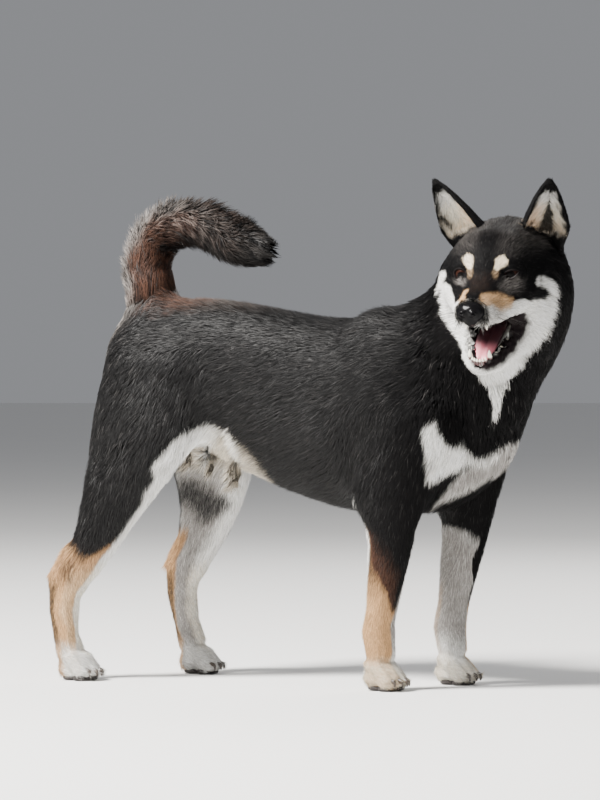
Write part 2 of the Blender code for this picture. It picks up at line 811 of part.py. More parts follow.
def tail_form():
    """The tail out to the tips of its coat, curled forward over the back."""
    rows = (  # along, height, radius
        (-0.2960, 0.397, 0.0270),
        (-0.3006, 0.4255, 0.0280),
        (-0.2900, 0.4550, 0.0290),
        (-0.2610, 0.4690, 0.0285),
        (-0.2270, 0.4650, 0.0285),
        (-0.1930, 0.4480, 0.0280),
        (-0.1660, 0.4390, 0.0215),
    )
    return Form([(at(s, 0, z), r, r) for s, z, r in rows], left_of(-0.3), cap=0.020)


def tail_foot():
    """Where the tail parts from the rump, and the way it rises there."""
    return at(-0.297, 0, TAIL_FOOT), at(-0.3005, 0, 0.425) - at(-0.297, 0, 0.4)


def along_tail(tail, distance):
    """The middle of the tail, its directions and its radius at a distance from its root."""
    steps = np.linalg.norm(np.diff(tail.centres, axis=0), axis=1)
    reached = np.concatenate([[0], np.cumsum(steps)])
    runs = np.gradient(tail.centres, axis=0)
    centre, run = (
        np.array([np.interp(distance, reached, values[:, k]) for k in range(3)])
        for values in (tail.centres, runs)
    )
    radius = np.interp(distance, reached, tail.widths)
    past = max(0.0, distance - reached[-1])
    run, side, through = tail.axes(run)
    radius *= math.sqrt(max(0.03, 1 - (past / tail.caps[1]) ** 2))
    return centre + run * past, side, through, radius


def tail_core(tail):
    """The fleshy tail with its undercoat, thick at the root."""
    length = tail_length(tail) - 0.012
    stations = []
    for share in (0.0, 0.08, 0.18, 0.32, 0.5, 0.7, 0.86, 1.0):
        centre, _, _, _ = along_tail(tail, share * length)
        thick = TAIL_CORE + (TAIL_ROOT - TAIL_CORE) * max(0.0, 1 - share / 0.22) ** 1.3
        stations.append((centre, thick, thick))
    return Form(stations, tail.across, cap=0.008, spans=2)


def tail_length(tail):
    return float(np.linalg.norm(np.diff(tail.centres, axis=0), axis=1).sum())


def tail_locks(tail):
    """(distance of the root, builder) of each lock, laid towards the tip and rising from the core."""
    random = np.random.default_rng(7)
    length = tail_length(tail)
    locks = []
    for row in range(LOCK_ROWS):
        start = -0.004 + row * (length - 0.004) / (LOCK_ROWS - 1)
        for place in range(LOCKS_ROUND):
            turn = (place + 0.5 * (row % 2) + random.uniform(-0.18, 0.18)) * 2 * math.pi / LOCKS_ROUND
            reach = LOCK_LENGTH * random.uniform(0.85, 1.12)
            reach = min(reach, length + tail.caps[1] * random.uniform(0.75, 1.0) - start)
            twist = random.uniform(-0.22, 0.22)
            rise = random.uniform(0.96, 1.05)
            points = []
            for share, out in ((0.0, 0.0), (0.25, 0.62), (0.6, 0.92), (1.0, 1.0)):
                centre, side, through, radius = along_tail(tail, start + share * reach)
                low = 0.6 * TAIL_CORE
                if share == 0:
                    low = 0.75 * radius if start < 0.02 else low
                    root = low
                r = root + (radius * rise - root) * out
                angle = turn + twist * share
                points.append(Vector(centre + (side * math.cos(angle) + through * math.sin(angle)) * r))
            _, side, through, _ = along_tail(tail, start)
            around = Vector(side * -math.sin(turn) + through * math.cos(turn))
            widths = [w * random.uniform(0.9, 1.1) for w in (0.0060, 0.0078, 0.0056)]
            build = lambda bm, a=points, w=widths, c=around: spike(bm, a, w, LOCK_DEPTHS, c, 4)
            locks.append((start, build))
    return locks


def swollen(obj, name):
    """A copy grown by the gap, for keeping a neighbour clear of it."""
    made = copy(obj, name)
    grow = made.modifiers.new("Grow", "DISPLACE")
    grow.strength = GAP
    grow.mid_level = 0
    apply_modifiers(made)
    return made


def make_tail():
    """Three lengths of core, each with the locks that are rooted in it."""
    tail = tail_form()
    whole = loft("tail_base", tail_core(tail), 12, 2)
    root, up = tail_foot()
    remove(beyond(whole, "off", root, -up))
    lengths = [whole]
    for name, start in (("tail_middle", TAIL_PARTS[0]), ("tail_tip", TAIL_PARTS[1])):
        centre, side, through, _ = along_tail(tail, start)
        lengths.append(beyond(lengths[-1], name, centre, np.cross(side, through)))
    locks = tail_locks(tail)
    bounds = (-1.0, *TAIL_PARTS, 1.0)
    for obj, low, high in zip(lengths, bounds, bounds[1:]):
        add(obj, [build for start, build in locks if low <= start < high])
    remove(beyond(whole, "off", root, -up, "MANIFOLD"))
    for lower, upper in zip(lengths, lengths[1:]):
        cut_away(upper, swollen(lower, "clear"), solver="MANIFOLD")
        keep_largest(upper)


def paint(obj, coat):
    colour, roughness = COATS[coat]
    material = bpy.data.materials.new(obj.name)
    material.use_nodes = True
    shader = material.node_tree.nodes["Principled BSDF"]
    shader.inputs["Base Color"].default_value = (*colour, 1)
    shader.inputs["Roughness"].default_value = roughness
    obj.data.materials.clear()
    obj.data.materials.append(material)


def make_feet(body):
    """Each foot's mesh is finer than the leg's, and is cut to meet it."""
    for name, (along, side, out, turn) in FEET.items():
        place, outward = foot_frame(along, side, out, turn)
        ankle = FORE_ANKLE if name.startswith("fore") else HIND_ANKLE
        heel = place(0, 0, 0).xy
        leg = [pair for pair in body if (Vector(pair[0].centres[-1]).xy - heel).length < 0.03]
        forms = leg + foot_forms(place, outward)
        foot = skin(name, [form for form, _ in forms], forms, 0.0022, 440)
        cut_away(foot, block("above", (0, 0, ankle + GAP / 2 + 0.5), (2, 2, 1)))
        add(foot, claws(place, outward))
        cut_away(foot, block("ground", (0, 0, -0.5), (2, 2, 1)))
        keep_largest(foot)


def part_legs(torso):
    """The arms and thighs part from the trunk along planes that lean inwards towards the ground."""
    # upper part; heights of the ankle, knee and top; back and front ends; how far out the planes lie
    legs = {
        "forearm": ("upper_arm", FORE_ANKLE, ELBOW, 0.285, -0.045, 0.100, 0.012, 0.038),
        "shank": ("thigh", HIND_ANKLE, STIFLE, 0.340, -0.45, -0.200, 0.012, 0.034),
    }
    for lower, (upper, ankle, knee, top, back, front, low, high) in legs.items():
        for side, word in ((RIGHT, "right"), (LEFT, "left")):
            middle = (back + front) / 2
            turn = Matrix.Rotation(spine(middle)[2], 4, "Z")
            centre = at(middle, side * (low + 0.1), 0)
            size = (front - back, 0.2, 1.0)
            remove(part_off(torso, "off", centre + Vector((0, 0, ankle - 0.5)), size, turn))
            shin = (*size[:2], knee - ankle)
            part_off(torso, lower + "_" + word, centre + Vector((0, 0, (ankle + knee) / 2)), shin, turn)
            centre = at(middle, side * (high + 0.1), (knee + top) / 2)
            part_off(torso, upper + "_" + word, centre, (*size[:2], top - knee), turn)


def coat_lock(whole, inside, outward, lie, length, rise, width):
    """A lock rooted where the line from inside to outward meets the skin, laid over it along lie."""
    outward, lie = Vector(outward).normalized(), Vector(lie).normalized()
    steps = np.linspace(0, 0.12, 61)
    line = np.array(inside) + steps[:, None] * np.array(outward)
    skin_at = Vector(inside) + outward * float(steps[np.argmax(blended(line, whole) > 0)])
    points = [
        skin_at - outward * 0.006 - lie * 0.002,
        skin_at + outward * rise * 0.2 + lie * length * 0.3,
        skin_at + outward * rise * 0.7 + lie * length * 0.65,
        skin_at + outward * rise + lie * length,
    ]
    widths, depths = (width * 0.8, width, width * 0.7), (0.0028, 0.0030, 0.0020)
    across = lie.cross(outward)
    return lambda bm: spike(bm, points, widths, depths, across, 4)


def body_locks(whole):
    """The fringe of the groin."""
    locks = []
    left = left_of(-0.3)
    back = at(-0.4, 0, 0) - at(-0.3, 0, 0)
    for along, out in GROIN_LOCKS:
        lie = back * 1.5 + left * out * 4 + Vector((0, 0, -1))
        locks.append(coat_lock(whole, at(along, out, 0.30), (0, 0, -1), lie, 0.021, 0.004, 0.0085))
    return locks


def head_block():
    """Turn and middle of the block that parts the head from the neck."""
    turn = HEAD.to_3x3().to_4x4() @ facing(NAPE_WAY)
    leftward = HEAD.to_3x3() @ Vector((0, HEAD_BLOCK_LEFT, 0))
    return on_head(*NAPE) + turn.to_3x3() @ Vector((0, 0, HEAD_BLOCK[2] / 2)) + leftward, turn


def make_head(whole):
    """The head down to the throat, with its mouth, eyes, nose, tongue and teeth."""
    shown = head_forms() + neck_forms() + torso_forms(6) + shoulder_forms(RIGHT) + shoulder_forms(LEFT)
    skull = skin("skull", [form for form, _ in shown], whole, 0.0026, 3700)
    centre, turn = head_block()
    head = part_off(skull, "head", centre, HEAD_BLOCK, turn)
    remove(skull)
    for side in (RIGHT, LEFT):
        lid = eyeball("lid", side, EYE_RADIUS + LID)
        boolean(head, lid, "UNION")
        remove(lid)
    cut_away(head, mouth())
    for side, height in EYE_OPENINGS:
        cut_away(head, eyeball("socket", side, EYE_RADIUS + GAP), eye_opening(side, height))
    cut_away(head, tongue("bed", GAP))
    return head


def main():
    for obj in list(bpy.data.objects):
        bpy.data.objects.remove(obj)
    body = body_forms()
    face = head_forms()
    whole = body + face

    torso = skin("rump", [form for form, _ in body], whole, 0.006, 3500)
    centre, turn = head_block()
    remove(part_off(torso, "off", centre, HEAD_BLOCK, turn))
    add(torso, body_locks(whole))
    make_feet(body)
    part_legs(torso)
    beyond(torso, "neck", at(SHOULDERS, 0, 0.3175), (0.855, -0.08, 0.518))
    for name, back in (("chest", RIBS_END), ("loin", LOIN_END)):
        beyond(torso, name, at(back, 0, 0.3), at(back, 0, 0.3) - at(back - 0.01, 0, 0.3))
    root, up = tail_foot()
    remove(beyond(torso, "off", root, up))

    make_tail()
    head = make_head(whole)
    for word, side in (("right", RIGHT), ("left", LEFT)):
        eyeball("eye_" + word, side, EYE_RADIUS)
    for name, values in EARS.items():
        obj = ear(name, *values)
        cut_away(obj, swollen(head, "clear"))
        keep_largest(obj)
    tongue("tongue", 0)
    mandible = HEAD.to_3x3().to_4x4() @ Matrix.Rotation(JAW_OPEN, 4, "Y")
    jaw = part_off(head, "jaw", on_jaw(0.046, 0, -0.058), (0.100, 0.072, 0.056), mandible)
    add(head, teeth(on_head, UPPER_TEETH, UPPER_GUM, -1))
    cut_away(head, swollen(nose(), "clear"))
    keep_largest(head)
    add(jaw, teeth(on_jaw, LOWER_TEETH, LOWER_GUM, 1))
    cut_away(jaw, tongue("bed", GAP))

    corners = [obj.matrix_world @ vert.co for obj in bpy.data.objects for vert in obj.data.vertices]
    low = Vector([min(corner[k] for corner in corners) for k in range(3)])
    high = Vector([max(corner[k] for corner in corners) for k in range(3)])
    for obj in bpy.data.objects:
        obj.location = Vector((-(low.x + high.x) / 2, -(low.y + high.y) / 2, -low.z))
        paint(obj, COAT_OF.get(obj.name, "black_coat"))


main()
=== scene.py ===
"""The looks of the black and tan shiba inu: skin, coat, eyes, nose, mouth, claws, floor, light, camera.

Metres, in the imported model's frame. The names "dog" and "head" mean two frames of their own: the dog's
has X forward along the pelvis and Y to its left, and the head's has its origin midway between the eyes.
"""

import math
from contextlib import contextmanager

import bmesh
import bpy
import numpy as np
from mathutils import Matrix, Vector
from mathutils.bvhtree import BVHTree


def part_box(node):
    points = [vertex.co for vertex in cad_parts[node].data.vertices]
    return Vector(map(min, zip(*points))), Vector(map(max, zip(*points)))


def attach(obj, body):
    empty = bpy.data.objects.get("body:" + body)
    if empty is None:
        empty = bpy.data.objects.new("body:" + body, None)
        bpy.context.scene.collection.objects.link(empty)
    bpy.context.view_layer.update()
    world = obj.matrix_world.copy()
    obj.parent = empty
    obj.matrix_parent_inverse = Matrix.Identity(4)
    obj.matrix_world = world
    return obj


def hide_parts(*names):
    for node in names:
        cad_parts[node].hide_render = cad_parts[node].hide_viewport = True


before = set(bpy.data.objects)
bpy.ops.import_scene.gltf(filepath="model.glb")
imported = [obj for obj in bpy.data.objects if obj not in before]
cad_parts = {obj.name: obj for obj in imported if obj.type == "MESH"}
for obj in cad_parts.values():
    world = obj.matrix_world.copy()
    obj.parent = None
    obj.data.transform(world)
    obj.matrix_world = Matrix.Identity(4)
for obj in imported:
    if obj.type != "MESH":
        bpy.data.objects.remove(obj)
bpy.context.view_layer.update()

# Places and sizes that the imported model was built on
RIGHT, LEFT = -1, 1
BEND = math.radians(-8)
BEND_START = -0.17
HEAD_PLACE = Vector((0.123, -0.089, 0.4098))
HEAD_TURN = math.radians(-84)
HEAD_NOD = math.radians(9)
HEAD_TILT = math.radians(-2.5)
EYE_RADIUS = 0.0098
EYE = Vector((-0.0065, 0.0235, 0.0))
EYE_TURN = math.radians(22)
JAW_JOINT = Vector((-0.058, 0.0, -0.032))
JAW_OPEN = math.radians(27)
TOE_STEP = 0.0074
TOE_REACH = 0.0275

# Size of the coat
TUFTS = 1.0  # share of the tufts that are made
SKIN_VOXEL = 0.0026
HEAD_VOXEL = 0.0014
EAR_VOXEL = 0.0009
FOOT_VOXEL = 0.0012
FOOT_TOP = 0.050

# Colours, linear
BLACK = (0.0040, 0.0038, 0.0040)
# grey hairs among the black, partly real and partly painted sheen
GREY_HAIR_AND_SHEEN = (0.034, 0.032, 0.031)
BROWN = (0.026, 0.016, 0.012)
RUST = (0.105, 0.046, 0.028)
TAN = (0.60, 0.355, 0.17)
SAND = (0.72, 0.50, 0.30)
CREAM = (0.86, 0.76, 0.60)
WHITE = (0.88, 0.87, 0.83)
GREY = (0.24, 0.22, 0.205)
PEACH = (0.78, 0.53, 0.36)


# The two frames


def spine_table():
    """Rows of (distance along, x, y, heading) of the spine from the withers, as the model was built."""
    steps = np.linspace(-0.42, 0.14, 281)
    t = np.clip((steps - BEND_START) / -BEND_START, 0, 1)
    heading = BEND * t * t * (3 - 2 * t)
    step = steps[1] - steps[0]
    x = np.concatenate([[0], np.cumsum(np.cos((heading[1:] + heading[:-1]) / 2) * step)])
    y = np.concatenate([[0], np.cumsum(np.sin((heading[1:] + heading[:-1]) / 2) * step)])
    x -= np.interp(0, steps, x)
    y -= np.interp(0, steps, y)
    return np.stack([steps, x, y, heading])


SPINE = spine_table()


def at(along, side, height):
    """A point of the dog's frame placed along the spine, to its left, and above the ground."""
    x, y, heading = (float(np.interp(along, SPINE[0], row)) for row in SPINE[1:])
    return Vector((x - side * math.sin(heading), y + side * math.cos(heading), height))


HEAD = (
    Matrix.Translation(HEAD_PLACE)
    @ Matrix.Rotation(HEAD_TURN, 4, "Z")
    @ Matrix.Rotation(HEAD_NOD, 4, "Y")
    @ Matrix.Rotation(HEAD_TILT, 4, "X")
)


def in_eye(side, forward, outward, up):
    """A point of the head's frame given from the middle of an eye, along the way it looks."""
    x = forward * math.cos(EYE_TURN) - outward * math.sin(EYE_TURN)
    y = forward * math.sin(EYE_TURN) + outward * math.cos(EYE_TURN)
    return Vector((EYE.x + x, side * (EYE.y + y), EYE.z + up))


def box_middle(node):
    low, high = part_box(node)
    return (low + high) / 2


SHIFT = box_middle("eye_left") - HEAD @ in_eye(LEFT, 0, 0, 0)
HEAD = Matrix.Translation(SHIFT) @ HEAD
HEAD_TO = np.array(HEAD.inverted())
HEAD_AXES = np.array(HEAD.to_3x3())


def on_head(x, y, z):
    return HEAD @ Vector((x, y, z))


def on_jaw(x, y, z):
    """A point of the lower jaw, given as it would lie with the mouth closed."""
    turned = Matrix.Rotation(JAW_OPEN, 4, "Y") @ (Vector((x, y, z)) - JAW_JOINT)
    return HEAD @ (turned + JAW_JOINT)


def head_frame(points):
    return points @ HEAD_TO[:3, :3].T + HEAD_TO[:3, 3]


def dog_frame(points):
    return points - np.array(SHIFT)


def spine_frame(points):
    """(along, side, height) of each point."""
    dog = dog_frame(points)
    along = dog[:, 0].copy()
    for _ in range(4):
        x, y, heading = (np.interp(along, SPINE[0], row) for row in SPINE[1:])
        along += (dog[:, 0] - x) * np.cos(heading) + (dog[:, 1] - y) * np.sin(heading)
    x, y, heading = (np.interp(along, SPINE[0], row) for row in SPINE[1:])
    side = -(dog[:, 0] - x) * np.sin(heading) + (dog[:, 1] - y) * np.cos(heading)
    return np.stack([along, side, dog[:, 2]], axis=1)


# Smooth functions of place


def ramp(value, low, high):
    """0 below low, 1 above high, and smooth between them."""
    t = np.clip((value - low) / (high - low), 0, 1)
    return t * t * (3 - 2 * t)


def fall(value, low, high):
    """The other way round: 1 below low and 0 above high."""
    return 1 - ramp(value, low, high)


def read_off(table, value):
    """The second column of a table at values of its first."""
    return np.interp(value, *np.array(table, float).T)


def ripple(points, size, seed, waves=7):
    """Smooth noise between about -1 and 1, with features of the given size."""
    random = np.random.default_rng(seed)
    total = np.zeros(len(points))
    for _ in range(waves):
        way = random.normal(size=3)
        way *= random.uniform(0.7, 1.4) / np.linalg.norm(way)
        total += np.sin(points @ way * 2 * math.pi / size + random.uniform(0, 6.28))
    return total / math.sqrt(waves)


def unit(vectors):
    return vectors / np.maximum(np.linalg.norm(vectors, axis=1), 1e-9)[:, None]


def direction(vector):
    return np.asarray(vector, float) / np.linalg.norm(vector)


def line_axis(line):
    """The first point of a line, the way from it to the last, and how far that is."""
    root, tip = np.array(line[0]), np.array(line[-1])
    return root, direction(tip - root), np.linalg.norm(tip - root)


def distances(line):
    """How far along a line each of its points lies."""
    return np.concatenate([[0], np.cumsum(np.linalg.norm(np.diff(line, axis=0), axis=1))])


def blob(points, centre, radii, soft=0.3):
    """1 inside an ellipsoid, falling to 0 outside it."""
    reach = np.sqrt((((points - np.array(centre)) / np.array(radii)) ** 2).sum(axis=1))
    return fall(reach, 1 - soft, 1 + soft)


def strand(points, line, radii, soft=0.3):
    """1 near a line through points, with a radius for each, falling to 0 outside."""
    best = np.full(len(points), 9.0)
    for a, b, ra, rb in zip(line, line[1:], radii, radii[1:]):
        a, b = np.array(a, float), np.array(b, float)
        t = np.clip((points - a) @ (b - a) / ((b - a) @ (b - a)), 0, 1)
        gap = np.linalg.norm(points - a - t[:, None] * (b - a), axis=1)
        best = np.minimum(best, gap / (ra + t * (rb - ra)))
    return fall(best, 1 - soft, 1 + soft)


def polygon(points, corners, soft):
    """1 inside a polygon of the plane, falling to 0 over a soft edge."""
    corners = np.array(corners, float)
    inside = np.zeros(len(points), bool)
    gap = np.full(len(points), 9e9)
    for a, b in zip(corners, np.roll(corners, -1, axis=0)):
        t = np.clip((points - a) @ (b - a) / ((b - a) @ (b - a)), 0, 1)
        gap = np.minimum(gap, np.linalg.norm(points - a - t[:, None] * (b - a), axis=1))
        if a[1] != b[1]:
            level = (a[1] > points[:, 1]) != (b[1] > points[:, 1])
            inside ^= level & (points[:, 0] < a[0] + (points[:, 1] - a[1]) * (b[0] - a[0]) / (b[1] - a[1]))
    return ramp(np.where(inside, gap, -gap), -soft, soft)


MOUTH = np.array(  # forward, height, half width and half height of the mouth's hollow
    (
        (-0.060, -0.0465, 0.0050, 0.0030),
        (-0.046, -0.0480, 0.0165, 0.0085),
        (-0.020, -0.0520, 0.0235, 0.0125),
        (0.009, -0.0605, 0.0170, 0.0205),
        (0.035, -0.0665, 0.0100, 0.0265),
        (0.062, -0.0690, 0.0090, 0.0265),
    )
)


def mouth_gap(head):
    """How far a point of the head's frame lies outside the hollow of the mouth, about."""
    middle, width, depth = (np.interp(head[:, 0], MOUTH[:, 0], MOUTH[:, k]) for k in (1, 2, 3))
    ratio = np.sqrt((head[:, 1] / width) ** 2 + ((head[:, 2] - middle) / depth) ** 2)
    size = np.hypot(head[:, 1], head[:, 2] - middle)
    gap = size * (1 - 1 / np.maximum(ratio, 0.05))
    return np.where(head[:, 0] < -0.062, 0.05, gap)


# The tail, which the skin follows by its core


TAIL_ROWS = (  # along, height, radius out to the tips of the coat
    (-0.2960, 0.397, 0.0270),
    (-0.3006, 0.4255, 0.0280),
    (-0.2900, 0.4550, 0.0290),
    (-0.2610, 0.4690, 0.0285),
    (-0.2270, 0.4650, 0.0285),
    (-0.1930, 0.4480, 0.0280),
    (-0.1660, 0.4390, 0.0215),
)
TAIL_END = 0.020
TAIL_CORE = 0.0120
TAIL_ROOT = 0.0235


def smooth_line(values, spans=6):
    values = np.array(values, float)
    padded = np.vstack([2 * values[0] - values[1], values, 2 * values[-1] - values[-2]])
    line = []
    for i in range(len(values) - 1):
        a, b, c, d = padded[i : i + 4]
        for t in np.arange(spans) / spans:
            bend = t * t * (a - 2.5 * b + 2 * c - 0.5 * d) + 0.5 * t**3 * (3 * b - 3 * c + d - a)
            line.append(b + 0.5 * t * (c - a) + bend)
    return np.array(line + [values[-1]])


TAIL = smooth_line([(*(at(s, 0, z) + SHIFT), r) for s, z, r in TAIL_ROWS])
TAIL_STEPS = distances(TAIL[:, :3])
TAIL_LENGTH = TAIL_STEPS[-1]
TAIL_SIDE = np.array(at(-0.3, 1, 0) - at(-0.3, 0, 0))


def along_tail(distance):
    """Centre, run, side, through and radius at distances from the root, past both ends too."""
    distance = np.asarray(distance, float)
    slope = np.gradient(TAIL[:, :3], axis=0)
    centre = np.stack([np.interp(distance, TAIL_STEPS, TAIL[:, k]) for k in range(3)], axis=1)
    run = unit(np.stack([np.interp(distance, TAIL_STEPS, slope[:, k]) for k in range(3)], axis=1))
    side = unit(TAIL_SIDE - (run @ TAIL_SIDE)[:, None] * run)
    past = np.maximum(0, distance - TAIL_LENGTH)
    beyond = past + np.minimum(0, distance)
    radius = np.interp(distance, TAIL_STEPS, TAIL[:, 3])
    radius = radius * np.sqrt(np.maximum(0.03, 1 - (past / TAIL_END) ** 2))
    return centre + run * beyond[:, None], run, side, np.cross(run, side), radius


def tail_core(distance):
    """Radius of the tail's flesh, which widens towards its root."""
    return TAIL_CORE + (TAIL_ROOT - TAIL_CORE) * np.clip(1 - distance / (0.22 * TAIL_LENGTH), 0, 1.2) ** 1.3


# Meshes


def new_object(name, mesh):
    obj = bpy.data.objects.new(name, mesh)
    bpy.context.scene.collection.objects.link(obj)
    return obj


def mesh_from(name, points, faces):
    """A mesh of faces that all have the same number of corners."""
    faces = np.asarray(faces, np.int32)
    mesh = bpy.data.meshes.new(name)
    mesh.vertices.add(len(points))
    mesh.vertices.foreach_set("co", np.asarray(points, np.float32).ravel())
    mesh.loops.add(faces.size)
    mesh.loops.foreach_set("vertex_index", faces.ravel())
    mesh.polygons.add(len(faces))
    mesh.polygons.foreach_set("loop_start", np.arange(len(faces), dtype=np.int32) * faces.shape[1])
    mesh.update(calc_edges=True)
    mesh.validate()
    mesh.shade_smooth()
    return mesh


def values_of(collection, name, size, kind=np.float32):
    """A value of every item of a mesh's vertices, edges, loops and so on, one row for each."""
    values = np.empty(len(collection) * size, kind)
    collection.foreach_get(name, values)
    return values.reshape(-1, size)


def coordinates(mesh, normals=False):
    values = (mesh.vertex_normals, "vector", 3) if normals else (mesh.vertices, "co", 3)
    return values_of(*values).astype(float)


def set_points(mesh, points):
    mesh.vertices.foreach_set("co", points.astype(np.float32).ravel())
    mesh.update()


def triangles(mesh):
    """The vertices and the loops of each triangle."""
    mesh.calc_loop_triangles()
    return [values_of(mesh.loop_triangles, name, 3, np.int32) for name in ("vertices", "loops")]


def set_attribute(mesh, name, values):
    values = np.asarray(values, np.float32)
    kind = "FLOAT" if values.ndim == 1 else "FLOAT_COLOR"
    if values.ndim == 2:
        values = np.hstack([values, np.ones((len(values), 1), np.float32)])
    attribute = mesh.attributes.new(name, kind, "POINT")
    attribute.data.foreach_set("value" if kind == "FLOAT" else "color", values.ravel())


def apply_modifiers(obj):
    graph = bpy.context.evaluated_depsgraph_get()
    made = bpy.data.meshes.new_from_object(obj.evaluated_get(graph))
    obj.modifiers.clear()
    old, obj.data = obj.data, made
    bpy.data.meshes.remove(old)


@contextmanager
def edited(mesh):
    """A mesh opened for changes, which are then written back."""
    bm = bmesh.new()
    bm.from_mesh(mesh)
    yield bm
    bm.to_mesh(mesh)
    bm.free()


def joined_nodes(name, nodes, more=()):
    """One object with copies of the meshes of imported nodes, and more (points, faces) if given."""
    meshes = [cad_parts[node].data for node in nodes]
    mesh = mesh_from(name, *merged([*more, *((coordinates(m), triangles(m)[0]) for m in meshes)]))
    with edited(mesh) as bm:
        bmesh.ops.remove_doubles(bm, verts=bm.verts, dist=1e-7)
    return new_object(name, mesh)


def remeshed(name, nodes, voxel, rounds, factor=0.5, keep_all=False, more=()):
    """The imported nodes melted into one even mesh, with their facets smoothed away."""
    obj = joined_nodes(name, nodes, more)
    remesh = obj.modifiers.new("Remesh", "REMESH")
    remesh.mode = "VOXEL"
    remesh.voxel_size = voxel
    even = obj.modifiers.new("Even", "SMOOTH")
    even.factor = factor
    even.iterations = rounds
    apply_modifiers(obj)
    if not keep_all:
        drop_scraps(obj)
    return obj


def drop_scraps(obj):
    """Keeps the largest closed surface of a mesh."""
    with edited(obj.data) as bm:
        left = set(bm.verts)
        groups = []
        while left:
            found = []
            waiting = [left.pop()]
            while waiting:
                vert = waiting.pop()
                found.append(vert)
                beyond = {edge.other_vert(vert) for edge in vert.link_edges} & left
                left -= beyond
                waiting += beyond
            groups.append(found)
        groups.sort(key=len)
        scraps = [vert for group in groups[:-1] for vert in group]
        bmesh.ops.delete(bm, geom=scraps, context="VERTS")


def ring_faces(rings, around):
    """Triangles between each ring of points and the next."""
    faces = []
    for i in range(rings - 1):
        for k in range(around):
            a, b = i * around + k, i * around + (k + 1) % around
            faces += [(a, b, b + around), (a, b + around, a + around)]
    return faces


def tube(rings, ends):
    """Points and triangles of a closed tube through rings of points, with a point at each end."""
    count, around = rings.shape[:2]
    faces = ring_faces(count, around)
    first, last, start = count * around, count * around + 1, (count - 1) * around
    for k in range(around):
        n = (k + 1) % around
        faces += [(first, n, k), (last, start + k, start + n)]
    return np.vstack([rings.reshape(-1, 3), *ends]), np.array(faces)


def sweep(centres, sides, throughs, widths, depths, corners=12, ends=None):
    """A tube with an oval section, closed in the middle of its first and last ring or at given ends."""
    centres, sides, throughs = (np.asarray(v, float) for v in (centres, sides, throughs))
    angles = np.arange(corners) * 2 * math.pi / corners
    across = sides[:, None] * np.outer(widths, np.cos(angles))[..., None]
    through = throughs[:, None] * np.outer(depths, np.sin(angles))[..., None]
    return tube(centres[:, None] + across + through, ends or (centres[0], centres[-1]))


def merged(shapes):
    """Several (points, faces) as one."""
    points, faces, count = [], [], 0
    for some, theirs in shapes:
        points.append(some)
        faces.append(np.asarray(theirs) + count)
        count += len(some)
    return np.vstack(points), np.vstack(faces)


def horn(line, widths, depths, across, corners=8, spans=3):
    """A curved, tapered cone through points, for a claw, a tooth or a whisker."""
    rows = smooth_line([(*p, w, d) for p, w, d in zip(line, widths, depths)], spans)
    runs = unit(np.gradient(rows[:, :3], axis=0))
    across = np.array(across, float)
    sides = unit(across - (runs @ across)[:, None] * runs)
    return sweep(rows[:, :3], sides, np.cross(runs, sides), rows[:, 3], rows[:, 4], corners)
def fix_normals(mesh):
    """Turns a mesh's faces outwards."""
    with edited(mesh) as bm:
        bmesh.ops.recalc_face_normals(bm, faces=bm.faces)


def declared(obj, material, slot, *replaced):
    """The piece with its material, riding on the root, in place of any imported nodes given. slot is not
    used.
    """
    obj.data.materials.append(material)
    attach(obj, "root")
    if replaced:
        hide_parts(*replaced)
    return obj


def solid_piece(name, shapes, material, slot, *replaced):
    """A declared piece made of closed shapes of (points, faces), with its faces turned outwards."""
    mesh = mesh_from(name, *merged(shapes))
    fix_normals(mesh)
    return declared(new_object(name, mesh), material, slot, *replaced)


# Materials


class Shader:
    """A material and the nodes that feed its Principled shader."""

    def __init__(self, name, **constants):
        self.material = bpy.data.materials.new(name)
        self.material.use_nodes = True
        self.tree = self.material.node_tree
        self.shader = self.tree.nodes["Principled BSDF"]
        for key, value in constants.items():
            self.shader.inputs[key.replace("_", " ")].default_value = value

    def node(self, kind, inputs=None, **settings):
        made = self.tree.nodes.new("ShaderNode" + kind)
        for key, value in settings.items():
            setattr(made, key, value)
        for key, value in (inputs or {}).items():
            self.link(value, made.inputs[key])
        return made

    def link(self, value, socket):
        if isinstance(value, bpy.types.NodeSocket):
            self.tree.links.new(value, socket)
        else:
            socket.default_value = value

    def set(self, socket, value):
        self.link(value, self.shader.inputs[socket])

    def attribute(self, name, output="Color"):
        return self.node("Attribute", attribute_name=name).outputs[output]

    def place(self):
        return self.node("TexCoord").outputs["Object"]

    def noise(self, scale, detail=2.0, place=None):
        inputs = {"Vector": place or self.place(), "Scale": scale, "Detail": detail}
        return self.node("TexNoise", inputs).outputs["Fac"]

    def maths(self, operation, a, b=0.0):
        return self.node("Math", {0: a, 1: b}, operation=operation).outputs[0]

    def vectors(self, operation, a, b, output="Vector"):
        return self.node("VectorMath", {0: a, 1: b}, operation=operation).outputs[output]

    def mix(self, share, a, b, blend="MIX"):
        """Two colours mixed, each an output or (red, green, blue)."""
        made = self.node("Mix", data_type="RGBA", blend_type=blend)
        self.link(share, made.inputs[0])
        for colour, socket in ((a, made.inputs[6]), (b, made.inputs[7])):
            self.link((*colour, 1) if isinstance(colour, tuple) else colour, socket)
        return made.outputs[2]

    def grain(self, scale, dark, light, detail=2.0):
        """Two colours mixed by noise."""
        return self.mix(self.noise(scale, detail), dark, light)

    def scaled(self, value, low, high):
        made = self.node("MapRange", {"Value": value, "To Min": low, "To Max": high})
        return made.outputs["Result"]

    def step(self, value, low, high):
        """0 below low and 1 above high."""
        made = self.node("ValToRGB", {"Fac": value})
        made.color_ramp.elements[0].position = low
        made.color_ramp.elements[1].position = high
        return made.outputs["Color"]

    def roughness(self, scale, low, high):
        """Roughness that noise varies between two values."""
        self.set("Roughness", self.scaled(self.noise(scale), low, high))

    def bump(self, height, strength, distance):
        made = self.node("Bump", {"Height": height, "Strength": strength, "Distance": distance})
        self.set("Normal", made.outputs[0])


